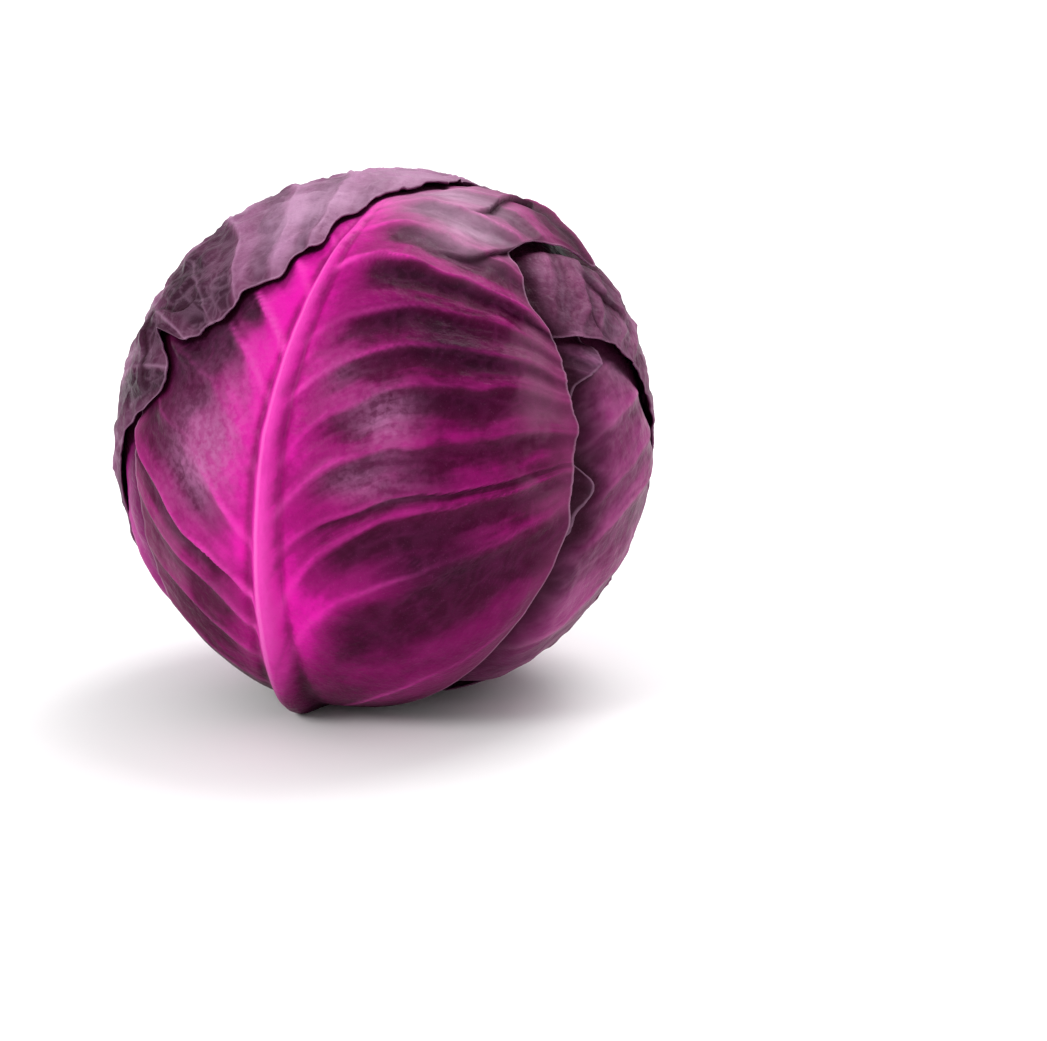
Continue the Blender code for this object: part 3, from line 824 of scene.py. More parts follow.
# %% The front leaf
FRONT_EDGE = [
    (-42.7, 62.6), (-32.9, 64.0), (-23.9, 65.4), (-17.0, 66.7), (-8.9, 66.4), (-1.2, 67.5),
    (7.2, 68.5), (17.4, 66.0), (27.3, 64.4), (36.5, 62.4), (42.3, 60.2), (46.6, 57.4), (49.3, 53.0),
    (51.0, 49.4), (56.4, 46.6), (60.7, 43.6), (64.0, 38.5), (68.5, 36.8), (75.5, 38.2), (84.7, 39.3),
    (90.4, 40.2), (92.5, 43.0), (97.3, 44.6), (107.1, 46.0), (113, 50),
]
FRONT_LEAF = Leaf(
    "wrapper_leaf_front", "front_leaf", -25, -4.5, -80, 128,
    (20, 30, 36, 45, 56, 62, 64, 62, 58), (46, 68, 72, 70, 66, 58, 56, 56, 62), 2.6, 0.010, 12,
    edge=FRONT_EDGE, press=0.042, painted_shade=15.0,
    rib_line=(-2.6, 0.6, 1.6, 0.9, 0.6, 0.1, -1.2, -2.0, -2.0),
    veins_right=[
        (-60, 30, 9), (-46, 30, 11), (-32, 20, 13), (-24, 27, 16), (-14, 33, 19), (-1, 30, 20), (12, 26, 17),
        (33, 13, 9), (48, 12, 12), (62, 10, 14), (78, 8, 14),
    ],
    veins_left=[
        (-66, 20, 24), (-57, 22, 22), (-50, 28, 22), (-42, 30, 24), (-31, 30, 22), (-16, 30, 20),
        (-2, 28, 18), (9, 26, 16), (24, 26, 16), (40, 20, 16), (56, 14, 16), (72, 10, 14),
    ],
    rib_height=4.6, rib_width=1.85, rib_tip=0.6, rib_fades=0.8, groove=0.8, vein=0.6, net=0.04, streak=0.35,
    pucker=2.8, lumps=0.8, quilt=0.1, lift=1.0, crinkle=0.35,
    glow=0.20, glow_reach=9, dark=1.0, bloom=0.02,
    spots=[
        ("glow", -8, -12, 26, 13, 0.40), ("bloom", -8, -16, 22, 10, 0.25), ("shade", 22, -22, 12, 12, 0.5),
        ("glow", -45, 18, 14, 26, 0.35), ("shade", 8, -27, 15, 12, 0.95), ("glow", 6, -26, 18, 12, -0.9),
        ("bloom", -13, -15, 9, 8, 0.75), ("bloom", -2, -8, 14, 5, 0.3), ("calm", -5, -20, 22, 14, 0.9),
        ("bloom", 2, 24, 7, 6, 0.8), ("bloom", -12, 22, 4, 9, 0.5), ("bloom", 10, 12, 9, 6, 0.25),
        ("grey", 36, 54, 14, 8, 1.0), ("grey", 14, 60, 12, 7, 1.0), ("grey", -13, 61, 16, 7, 0.8),
        ("pale", 78, 12, 18, 22, 0.8), ("pale", 62, 27, 9, 9, 0.6), ("grey", 45, 40, 8, 8, 0.5),
        ("shade", 27, 22, 9, 13, 0.5), ("shade", 24, 38, 9, 12, 0.8), ("shade", 8, 38, 6, 14, 0.5),
        ("shade", -30, 33, 7, 14, 0.9), ("shade", -12, 32, 4, 14, 0.5), ("grey", -37, -22, 12, 12, 0.55),
        ("shade", -76, 0, 14, 24, 0.85), ("glow", -66, -14, 14, 30, -0.45), ("glow", -42, -9, 10, 6, -0.5),
        ("glow", -50, -30, 14, 16, -0.3), ("shade", -62, -26, 16, 22, 0.4), ("shade", -58, 40, 14, 26, 0.5),
        ("lift", 95, 43, 26, 8, -0.6), ("lift", 5, 66, 30, 8, 1.3), ("glow", 18, -7, 14, 4, 0.5),
    ],
    pleats=[
        dict(path=[(64, 14), (75, 24), (83, 24.4), (91, 23.6), (98, 24), (104, 26), (109, 27)],
             high=1, height=2.3, reach=4.5, over=1.1, start=0.3, end=0.15),
        dict(path=[(46, 14), (51, 24), (54.5, 31), (61, 34.4), (68, 37.2), (76, 38.6), (85, 39.8),
                   (93, 42.5)],
             high=1, height=2.3, reach=4.5, over=1.2, start=0.35, end=0.4),
    ],
)
print("front leaf:", len(FRONT_EDGE), "points on its edge,", len(FRONT_LEAF.look["spots"]), "spots")

# %% [markdown]
# Two older leaves show at the right, past the front leaf's edge: a dull one from above that hangs over
# like an eave, and a crumpled one whose lobes stand up in the gap.

# %% The right leaf and the ruffled leaf
RIGHT_EDGE = [
    (100, -30), (92, -42), (89.8, -49), (89.0, -54.8), (86.5, -58.2), (80.7, -61.7), (72.8, -62.0),
    (64.9, -60.0), (53.2, -57.4), (47.0, -55.0), (39.1, -52.5), (32.3, -50.0), (25.0, -46.5),
    (17.8, -43.2), (10, -42),
]
RIGHT_LEAF = Leaf(
    "wrapper_leaf_right", "right_leaf", 125, 0, -80, 102,
    (26, 28, 30, 32, 38, 50, 58, 60, 62), (34, 45, 52, 57, 60, 60, 60, 60, 60), 3.6, 0.014, 13,
    edge=RIGHT_EDGE, press=0.012, painted_shade=6.0,
    veins_left=vein_set(23, gap=12.0), veins_right=vein_set(24), rib_height=3.4, net=0.30, net_size=0.010,
    pucker=0.9, lumps=1.6, quilt=0.6, lift=1.2, crinkle=0.8,
    glow=0.3, dark=0.6, bloom=0.35,
    spots=[
        ("lift", 50, -56, 26, 8, 1.6), ("shade", 52, -32, 12, 10, 0.5), ("shade", 46, -50, 8, 6, 0.3),
        ("glow", 78, -44, 10, 10, 0.3),
    ],
    pleats=[
        dict(path=[(57, -44), (58.5, -50), (54, -54), (47, -55)],
             high=-1, height=1.4, reach=3, over=0.6, start=0.4, end=0.4),
        dict(path=[(66, -33), (53.5, -40), (42.5, -40), (30, -38)],
             high=1, height=1.6, reach=4, over=0.8, start=0.4, end=0.4),
    ],
)
RUFFLED_EDGE = [
    (50, 42), (44, 46), (40.7, 50), (36, 49), (31, 47), (25, 44.5), (14, 43.5), (6, 44.5), (0, 47),
    (-3, 51.5), (-10, 51), (-20, 49),
]
RUFFLED = Leaf(
    "wrapper_leaf_ruffled", "ruffled_leaf", -2, 3, -80, 84,
    (40, 50, 56, 60, 60, 60, 60, 56, 50), (30, 32, 34, 38, 44, 46, 46, 48, 46), 3.0, 0.05, 14,
    edge=RUFFLED_EDGE, painted_shade=8.0,
    veins_left=vein_set(25), veins_right=vein_set(26, gap=9.0), net=0.45, net_size=0.008,
    pucker=1.6, lift=2.0, lift_reach=4.5, crinkle=3.2,
    glow=0.2, dark=0.8, bloom=0.2,
    # The shade spot is painted shade deep in the gap under the front leaf's edge.
    spots=[("lift", 36, 48, 7, 8, 3.0), ("lift", -6, 50, 6, 8, 2.5), ("shade", 0, 45, 60, 12, 0.5)],
)
for leaf in (RIGHT_LEAF, RUFFLED):
    print(leaf.slot, "reaches", leaf.tip - leaf.base, "degrees from foot to tip")

# %% [markdown]
# The side leaf shows in a strip beside the front leaf, with long veins that fan out and up. The flank,
# left and back leaves close the rest of the head, and only their own noise and veins tell them apart.

# %% The side leaf and the plainer leaves
SIDE = Leaf(
    "wrapper_leaf_side", "side_leaf", 28, 0, -80, 80,
    (38, 48, 56, 60, 60, 60, 58, 54, 50), (30, 40, 48, 54, 58, 60, 60, 54, 46), 3.0, 0.010, 15,
    veins_left=vein_set(27),
    veins_right=[
        (-60, 30, 20), (-42, 50, 40), (-30, 62, 60), (-14, 60, 62), (2, 50, 60), (22, 40, 60), (44, 30, 60),
    ],
    vein=0.8, vein_reach=120, net=0.08, pucker=0.9, lumps=1.2, lift=1.0, crinkle=0.4,
    glow=0.55, dark=0.22, bloom=0.3,
    # The shade spot is painted shade in the gap beside the front leaf's edge.
    spots=[("shade", -5, 16, 30, 7, 0.9), ("bulge", 5, 44, 22, 14, 2.0), ("pale", 24, 34, 5, 16, 0.3)],
)


def plainer_leaf(name, azimuth, cant, tip, left, right, seed, first_vein_seed):
    return Leaf(
        "wrapper_leaf_" + name, name + "_leaf", azimuth, cant, -80, tip, left, right, 3.0, 0.018, seed,
        veins_left=vein_set(first_vein_seed), veins_right=vein_set(first_vein_seed + 1),
        net=0.15, pucker=0.9, lift=1.2, crinkle=0.5,
    )


FLANK = plainer_leaf(
    "flank", 84, 4, 92, (40, 52, 60, 64, 64, 62, 60, 56, 52), (36, 46, 52, 58, 60, 60, 60, 56, 52), 16, 29)
LEFT_LEAF = plainer_leaf(
    "left", -82, -3, 90, (40, 52, 60, 65, 66, 66, 64, 60, 56), (40, 50, 58, 60, 60, 60, 58, 54, 50), 17, 31)
BACK = plainer_leaf(
    "back", 178, 3, 104, (40, 52, 62, 68, 70, 70, 68, 64, 58), (40, 52, 62, 66, 68, 68, 66, 62, 58), 18, 33)
print("side veins of the back leaf:", len(BACK.look["veins_left"]), "and", len(BACK.look["veins_right"]))

# %% [markdown]
# Outermost first, each leaf is built knowing those above it. The leaves that show most get the finest
# grids.

# %% Build the wrapper leaves
wrappers = [CROWN, FRONT_LEAF, RIGHT_LEAF, RUFFLED, SIDE, FLANK, LEFT_LEAF, BACK]
FINE, MEDIUM, COARSE = (262, 181), (200, 141), (150, 111)
grids = dict(crown_leaf=FINE, front_leaf=FINE, right_leaf=FINE, ruffled_leaf=MEDIUM, side_leaf=MEDIUM)
leaf_pieces = {}
for order, leaf in enumerate(wrappers):
    rows, columns = grids.get(leaf.slot, COARSE)
    leaf_pieces[leaf.slot] = build_wrapper(leaf, wrappers[:order], rows, columns)

# %% [markdown]
# ## The leaves inside
#
# Under the wrappers the leaves go on, round and round the stalk, each turned by about 137 degrees from
# the last. They can't be seen in the whole head, but someone may cut it or take it apart, so each is a
# real leaf too, built the same way with fewer faces.

# %% The inner leaves
INNER_COUNT, INNER_TURN = 13, 137.5
INNER_WIDTHS = (40, 54, 66, 72, 74, 75, 74, 71, 66)
INNER_GRID, INNER_COLUMN_PULL = (61, 47), 0.5
# Shares of the way out that one wrapper leaf and one inner leaf take, and an inner leaf's own thickness.
WRAPPER_ROOM, INNER_ROOM, INNER_LAMINA = 0.0295, 0.0770, 0.0200
INNER_SHRINK = 0.992
INNER_VEIN, INNER_PUCKER = 0.00035, 0.0006
STALK_HEIGHT = HEAD_HEIGHT / math.cos(HEAD_LEAN)


def inner_leaf(k):
    """The k-th leaf inside, whose foot stays clear of the stalk. Younger leaves start further up."""
    share = k / (INNER_COUNT - 1)
    reach = (STALK_HEIGHT + HEART_RISE) * (0.84 - 0.50 * share)
    clear = math.degrees(math.asin((0.0160 - 0.0060 * share) / reach))
    name = f"inner_leaf_{k + 1:02d}"
    azimuth, cant, tip = 60 + INNER_TURN * (k + 1), 4 * math.sin(k), 112 - 20 * share
    return Leaf(
        name, "inner_leaf", azimuth, cant, clear - 90, tip, INNER_WIDTHS, INNER_WIDTHS, 3.0, 0.015, 40 + k,
        veins_left=vein_set(60 + k), veins_right=vein_set(80 + k),
    )


def room_left(above, d):
    """The share of the way out that is left inside all the leaves above."""
    share = np.ones(len(d))
    for leaf in above:
        room = INNER_ROOM if leaf.slot == "inner_leaf" else WRAPPER_ROOM + leaf.look["press"]
        share = share * (1 - leaf.hold(leaf.past_edge(d) - 2) * room)
    return share


def build_inner(leaf, above):
    square, x, y = disc_grid(*INNER_GRID, INNER_COLUMN_PULL)
    x, y = leaf.drawn_out(x, y)
    s, t = leaf.angles(x, y)
    d = leaf.direction(s, t)
    outer = surface_distance(d) * room_left(above, d) * INNER_SHRINK
    relief = vein_relief(leaf, s, t, y, d * 0.06)
    outer = outer + INNER_VEIN * relief["vein"] + INNER_PUCKER * relief["pucker"]
    inner = outer * (1 - INNER_LAMINA)
    points = np.concatenate([HEART + d * outer[:, None], HEART + d * inner[:, None]])
    masks = {"rib": relief["rib_mask"], "vein": relief["vein"]}
    mesh = leaf_mesh(leaf.node, points, INNER_GRID, masks, square)
    return placed(leaf.node.replace("inner", "folded"), mesh, leaf.node)


stack = list(wrappers)
inner_pieces = []
for k in range(INNER_COUNT):
    leaf = inner_leaf(k)
    inner_pieces.append(build_inner(leaf, stack))
    stack.append(leaf)
print("inner leaves:", len(inner_pieces), "of", len(inner_pieces[0].data.polygons), "faces each")

# %% [markdown]
# ## The heart and the stalk
#
# The heart is the bud that the youngest leaves are packed into, a knobbly egg. The stalk is a tapered
# stem that was cut through with a knife just below the lowest leaves. The cut face is flat, with a
# slightly raised skin, a ring of tougher strands and a paler pith. Both are surfaces of revolution with
# their radius disturbed by noise.

# %% Turned shapes
def turned(profile, sides):
    """Points and faces turned round the z axis from rings of radius and height, with both ends at points."""
    around = np.linspace(0, ROUND, sides, endpoint=False)
    circle = np.stack([np.cos(around), np.sin(around)], -1)
    rings = [np.column_stack([r * circle, np.full(sides, h)]) for r, h in profile[1:-1]]
    points = np.concatenate([[[0, 0, profile[0][1]]], *rings, [[0, 0, profile[-1][1]]]])
    faces = []
    following = np.roll(np.arange(sides), -1)
    for i in range(len(rings) - 1):
        low, high = 1 + i * sides, 1 + (i + 1) * sides
        faces += [(low + k, low + following[k], high + following[k], high + k) for k in range(sides)]
    last = 1 + (len(rings) - 1) * sides
    faces += [(0, 1 + following[k], 1 + k) for k in range(sides)]
    faces += [(len(points) - 1, last + k, last + following[k]) for k in range(sides)]
    return points, faces


def turned_piece(name, node, points, faces, masks):
    mesh = bpy.data.meshes.new(name)
    mesh.from_pydata([tuple(map(float, p)) for p in points], [], [tuple(map(int, f)) for f in faces])
    mesh.shade_smooth()
    add_masks(mesh, masks)
    print(name, len(mesh.polygons), "faces")
    return placed(name, mesh, node)


# %% [markdown]
# The heart fills what room the thirteen leaves leave, up to its own radius, and its folds are the borders
# between cells. The same distances that kept the leaves apart keep it inside them.

# %% Heart
HEART_RADIUS = 0.0235
HEART_RINGS, HEART_SIDES = 49, 72
HEART_SHRINK = 0.90
FOLD_SIZE, FOLD_SEED = 0.011, 91


def build_heart():
    polar = np.linspace(0, np.pi, HEART_RINGS)
    points, faces = turned([(math.sin(a), -math.cos(a)) for a in polar], HEART_SIDES)
    d = points / np.linalg.norm(points, axis=1)[:, None]
    folds, _ = cells(d * HEART_RADIUS, FOLD_SIZE, FOLD_SEED)
    swell = step(0.0, 0.3, folds)
    room = surface_distance(d) * room_left(stack, d) * HEART_SHRINK
    r = np.minimum(room, HEART_RADIUS) * (0.955 + 0.03 * swell)
    return turned_piece("heart_bud", "heart", HEART + d * r[:, None], faces, {"fold": swell})


heart_piece = build_heart()

# %% [markdown]
# The stalk is turned upright first and leaned afterwards. Because the knife went level, its cut face is
# then brought back down onto the resting plane. Fine ridges, broad lobes and the scars of lower leaves
# break up its roundness.

# %% Stalk
CUT_RADIUS, CUT_ROUNDING = 0.0146, 0.0007
STALK_TIP = STALK_HEIGHT + HEART_RISE - 0.0240 - 0.0028
# Radius and height along the head's axis, from the cut face up.
STALK_PROFILE = (
    (CUT_RADIUS, 0.0), (CUT_RADIUS - 0.0004, 0.0050), (0.0124, 0.0150), (0.0133, 0.0300), (0.0108, 0.0480),
    (0.0078, 0.0650), (0.0038, STALK_TIP),
)
STALK_SIDES, STALK_RINGS, FACE_RINGS = 96, 70, 25
STALK_RIDGES = 11
SCAR_HEIGHT, SCAR_WIDTH = 0.006, 0.0009
FLAT = 0.00005  # anything lower is on the cut face


def stalk_outline():
    """Rings of radius and height: the cut face from its middle out, a rounded rim, and the side."""
    heights = np.linspace(0, 1, STALK_RINGS) ** 1.2 * STALK_TIP
    inside_rim = CUT_RADIUS - CUT_ROUNDING
    face = [(r, 0.0) for r in np.linspace(0, 1, FACE_RINGS + 1)[:-1] * inside_rim]
    rim = []
    for a in np.linspace(0, 1.5, 5):
        rim.append((inside_rim + CUT_ROUNDING * math.sin(a), CUT_ROUNDING - CUT_ROUNDING * math.cos(a)))
    radii, levels = np.array(STALK_PROFILE).T
    side = [(float(np.interp(h, levels, radii)), float(h)) for h in heights[1:] if h > 0.001]
    return face + rim + side + [(0.0, side[-1][1])]


def build_stalk():
    points, faces = turned(stalk_outline(), STALK_SIDES)
    radius = np.hypot(points[:, 0], points[:, 1])
    turn = np.arctan2(points[:, 1], points[:, 0])
    height = points[:, 2].copy()
    on_face = height < FLAT
    around = np.stack([np.cos(turn), np.sin(turn), height * 30], -1)
    lobes = 1 + 0.035 * smooth_noise(around, 0.9, 51) + 0.012 * smooth_noise(around, 0.25, 52)
    ridges = 1 + 0.010 * np.abs(np.sin(turn * STALK_RIDGES + 9 * height / 0.09))
    points[:, :2] *= np.clip(lobes * ridges, 0, 1.02)[:, None] * 0.985
    # Scars where lower leaves were torn away, as a shallow wavy notch round the foot.
    scar = np.exp(-(((height - SCAR_HEIGHT - 0.0015 * np.sin(3 * turn)) / SCAR_WIDTH) ** 2))
    points[:, :2] *= (1 - 0.03 * scar)[:, None]
    strands = smooth_noise(np.stack([points[:, 0], points[:, 1], 0 * height], -1), 0.0011, 53)
    ring = np.exp(-(((radius / CUT_RADIUS - 0.72) / 0.09) ** 2))
    foot = MIDDLE - AXIS * STALK_HEIGHT
    world = foot + RIGHT * points[:, :1] + FRONT * -points[:, 1:2] + AXIS * points[:, 2:]
    # The face and the rim are brought down onto the resting plane, and less of what is above them.
    near = 1 - step(0.0, 1.0, height / (radius * 0.22 + 0.003))
    world = world - AXIS * (near * (world[:, 2] - height))[:, None] / AXIS[2]
    world[on_face, 2] = 0.00015 + 0.00025 * np.clip(strands[on_face], 0, 1) * (1 - ring[on_face])
    masks = {"cut": on_face.astype(float), "ring": ring * on_face, "reach": radius / CUT_RADIUS, "scar": scar}
    return turned_piece("cut_stalk", "stalk", world, faces, masks)


stalk_piece = build_stalk()

# %% [markdown]
# ## Writing shader maths as sums
#
# A material's masks are arithmetic: one thing times another, one minus a third. Wrapping a node's output
# in a small class that understands +, - and * lets us write them that way, and each operator adds the
# Math node we would have placed by hand. Colours go through the Mix node instead, because a Math node
# would turn them grey.


# %% Node arithmetic
class Shade:
    """A node's output, to be used in sums."""

    def __init__(self, finish, socket):
        self.finish, self.socket = finish, socket

    def sum_of(self, operation, first, second, clamp=False):
        settings = {"operation": operation, "use_clamp": clamp}
        return self.finish.node("ShaderNodeMath", settings, {0: first, 1: second})

    def __add__(self, other):
        return self.sum_of("ADD", self, other)

    def __sub__(self, other):
        return self.sum_of("SUBTRACT", self, other)

    def __mul__(self, other):
        return self.sum_of("MULTIPLY", self, other)

    def __rsub__(self, other):
        return self.sum_of("SUBTRACT", other, self)

    __radd__ = __add__
    __rmul__ = __mul__

    def clear(self):
        """Held between 0 and 1."""
        return self.sum_of("MULTIPLY", self, 1.0, clamp=True)

    def between(self, low, high):
        """0 at low, 1 at high, smooth on the way."""
        inputs = {"Value": self, "From Min": low, "From Max": high}
        return self.finish.node("ShaderNodeMapRange", {"interpolation_type": "SMOOTHSTEP"}, inputs)


class Finish:
    """A material, built up one node at a time."""

    def __init__(self, name, plain):
        self.material = bpy.data.materials.new(name)
        self.material.use_nodes = True
        self.tree = self.material.node_tree
        self.shader = self.tree.nodes["Principled BSDF"]
        for socket, value in plain.items():
            self.shader.inputs[socket].default_value = value

    def node(self, kind, settings, inputs, output=0):
        """Any node: its settings are set first, then each input gets a number, a colour or a link."""
        made = self.tree.nodes.new(kind)
        for key, value in settings.items():
            setattr(made, key, value)
        for key, value in inputs.items():
            self.feed(made.inputs[key], value)
        return Shade(self, made.outputs[output])

    def feed(self, socket, value):
        if isinstance(value, Shade):
            self.tree.links.new(value.socket, socket)
        else:
            socket.default_value = value

    def mask(self, name):
        return self.node("ShaderNodeAttribute", {"attribute_name": name}, {}, "Fac")

    def place(self):
        return self.node("ShaderNodeTexCoord", {}, {}, "Object")

    def stretched(self, size):
        """The place, scaled so that `size` metres along each axis becomes 1."""
        scale = [1 / s for s in size]
        return self.node("ShaderNodeVectorMath", {"operation": "MULTIPLY"}, {0: self.place(), 1: scale})

    def noise(self, size, detail=3.0, rough=0.55):
        inputs = {"Vector": self.place(), "Scale": 1 / size, "Detail": detail, "Roughness": rough}
        return self.node("ShaderNodeTexNoise", {"noise_dimensions": "3D"}, inputs, "Fac")

    def mix(self, amount, under, over):
        """One colour over another: sockets 6 and 7 hold the node's colours, and output 2 their mix."""
        return self.node("ShaderNodeMix", {"data_type": "RGBA"}, {0: amount, 6: under, 7: over}, 2)

    def bumped(self, height, distance, strength, below=None):
        inputs = {"Height": height, "Distance": distance, "Strength": strength}
        if below is not None:
            inputs["Normal"] = below
        return self.node("ShaderNodeBump", {}, inputs, "Normal")

    def done(self, **outputs):
        for key, value in outputs.items():
            self.feed(self.shader.inputs[key.replace("_", " ")], value)
        return self.material


def paint(*seen):
    """A colour as it looks on a screen, turned into the light values that materials use."""
    light = [((c + 0.055) / 1.055) ** 2.4 if c > 0.04045 else c / 12.92 for c in seen]
    return (*light, 1.0)


print("mid grey as light:", round(paint(0.5, 0.5, 0.5)[0], 3))

# %% [markdown]
# ## The skin of a leaf
#
# Red cabbage gets its colour from a purple sap that sits in the blade, strongest between the veins and
# thin over them, so the midrib and veins glow pink and magenta, and the bands between the veins are
# darkened further with painted shade. A waxy bloom lies over it in patches, greyer and duller, with a
# painted sheen in places. Towards its edge an old leaf dries, greys and darkens. Every one of those is a
# mask from the leaf's own points, broken up by noise so that no border is clean.


# %% Leaf skin
LEAF_GLOSS = {"Specular IOR Level": 0.14, "IOR": 1.28}
EDGE_WIDTH = 9.0  # degrees of dry margin
# Painted shadow for the pleats' creases, and painted shade beside the edge of a leaf above.
CREASE_PAINTED_SHADOW, UNDER_PAINTED_SHADE = paint(0.16, 0.02, 0.10), paint(0.17, 0.02, 0.10)


def darker(tint, share):
    return paint(*(share * c for c in tint))


def halfway(tint, other):
    return paint(*(0.5 * a + 0.5 * b for a, b in zip(tint, other)))


def streaks_along_veins(f):
    """Noise drawn out along the side veins, weaker near the midrib."""
    place = {"X": f.mask("flow") * 5.0, "Y": f.mask("across") * 0.11, "Z": 0.0}
    flow = f.node("ShaderNodeCombineXYZ", {}, place)
    inputs = {"Vector": flow, "Scale": 1.0, "Detail": 3.0, "Roughness": 0.5}
    streak = f.node("ShaderNodeTexNoise", {}, inputs, "Fac")
    return 0.5 + (streak - 0.5) * (0.15 + f.mask("streaky") * 0.85)


def sap_colour(f, tints, cell_tone, glowing, blotch):
    """The blade from deep to glowing, each cell of the net a little lighter or darker, and the midrib with
    its painted highlight.
    """
    deep, glow = tints["deep"], tints["glow"]
    colour = f.mix(glowing.between(0.0, 0.55), paint(*deep), halfway(deep, glow))
    colour = f.mix(glowing.between(0.50, 1.0), colour, paint(*glow))
    tone = (f.mask("tone") - 0.5) * (0.4 + blotch * 1.2) * cell_tone
    colour = f.mix(tone.clear(), colour, paint(*tints["pale"]))
    colour = f.mix((tone * -1.0).clear(), colour, darker(deep, 0.66))
    # A painted highlight down the left side of the midrib, dimmed where the skin is shaded.
    side = f.mask("rib_side")
    lit = ((side + 0.45) * (side + 0.45) * -6.0 + 1.0).clear()
    bright = (0.38 + lit * 0.55 + (blotch - 0.5) * 0.5 - f.mask("shade") * 0.6).clear()
    return f.mix((f.mask("rib") * bright).clear(), colour, paint(*tints["rib"]))


def leaf_skin(name, tints, net=0.3, cell_tone=0.0, wrinkled=0.5):
    f = Finish(name, LEAF_GLOSS)
    inset, shade = f.mask("inset"), f.mask("shade")
    blotch, grain, fine = f.noise(0.016, 5.0, 0.62), f.noise(0.0022, 3.0), f.noise(0.0006, 2.0)
    streak = streaks_along_veins(f)
    glowing = f.mask("glow") + (blotch - 0.5) * 0.8 + (streak - 0.5) * 0.6 + (grain - 0.5) * 0.15
    glowing = glowing.clear()
    colour = sap_colour(f, tints, cell_tone, glowing, blotch)
    # Dried patches and the dry margin.
    margin = (1 - inset.between(0.0, EDGE_WIDTH)) * (0.3 + blotch * 1.1)
    patchy = f.noise(0.016, 3.0, 0.5).between(0.42, 0.54) * 0.85 + 0.15
    colour = f.mix((f.mask("grey") * patchy * (0.5 + blotch * 1.0)).clear(), colour, paint(*tints["dry"]))
    colour = f.mix((margin * 0.85).clear(), colour, paint(*tints["edge"]))
    # Dark bands, partly painted shade, then the veins and their net over them.
    banded = (shade * (0.5 + blotch) + (streak - 0.55) * 0.4 * shade).clear()
    colour = f.mix(banded, colour, darker(tints["deep"], 0.55))
    colour = f.mix((f.mask("vein") * (0.62 + (grain - 0.5) * 0.6)).clear(), colour, paint(*tints["vein"]))
    colour = f.mix((f.mask("net") * net * (0.4 + blotch)).clear(), colour, paint(*tints["vein"]))
    # Wax with a painted sheen, a paler painted sheen, painted shadow in the folds, and painted shade by the
    # edge of the leaf above.
    frost = grain.between(0.38, 0.62) * 0.5 + streak.between(0.42, 0.62) * 0.5
    bloom = (f.mask("bloom") * (0.30 + frost * 0.75 + (blotch - 0.5) * 0.8)).clear()
    colour = f.mix(bloom * 0.85, colour, paint(*tints["wax_and_sheen_tint"]))
    # A paler painted sheen, mostly over the top of the head.
    painted_sheen = f.mask("pale") * (0.35 + blotch * 0.6 + (streak - 0.5) * 0.8)
    colour = f.mix(painted_sheen.clear(), colour, paint(*tints["pale"]))
    colour = f.mix((f.mask("crease") * (0.45 + blotch * 0.9)).clear(), colour, CREASE_PAINTED_SHADOW)
    colour = f.mix((f.mask("under") * 0.92).clear(), colour, UNDER_PAINTED_SHADE)
    rim = 1 - inset.between(0.15, 0.75)
    colour = f.mix((rim * blotch * 0.5).clear(), colour, paint(*tints["pale"]))
    colour = f.mix((fine.between(0.62, 0.72) * 0.05).clear(), colour, paint(*tints["wax_and_sheen_tint"]))
    colour = f.mix(f.mask("inside").between(0.4, 0.6), colour, paint(*tints["inside"]))
    rough = 0.40 + bloom * 0.25 + (grain - 0.5) * 0.16 + margin * 0.12 - glowing * 0.05
    bump = f.bumped(f.noise(0.0045, 3.0), 0.0014, wrinkled)
    for height, distance, strength in ((streak, 0.0008, 0.40), (grain, 0.0004, 0.35), (fine, 0.00012, 0.30)):
        bump = f.bumped(height, distance, strength, bump)
    return f.done(Base_Color=colour, Roughness=rough.clear(), Normal=bump)


# %% [markdown]
# Every leaf has the same kind of skin in its own tints. The crown leaf is dull and lilac, the front leaf
# the brightest, and the right and ruffled leaves dark, with a net that shows.

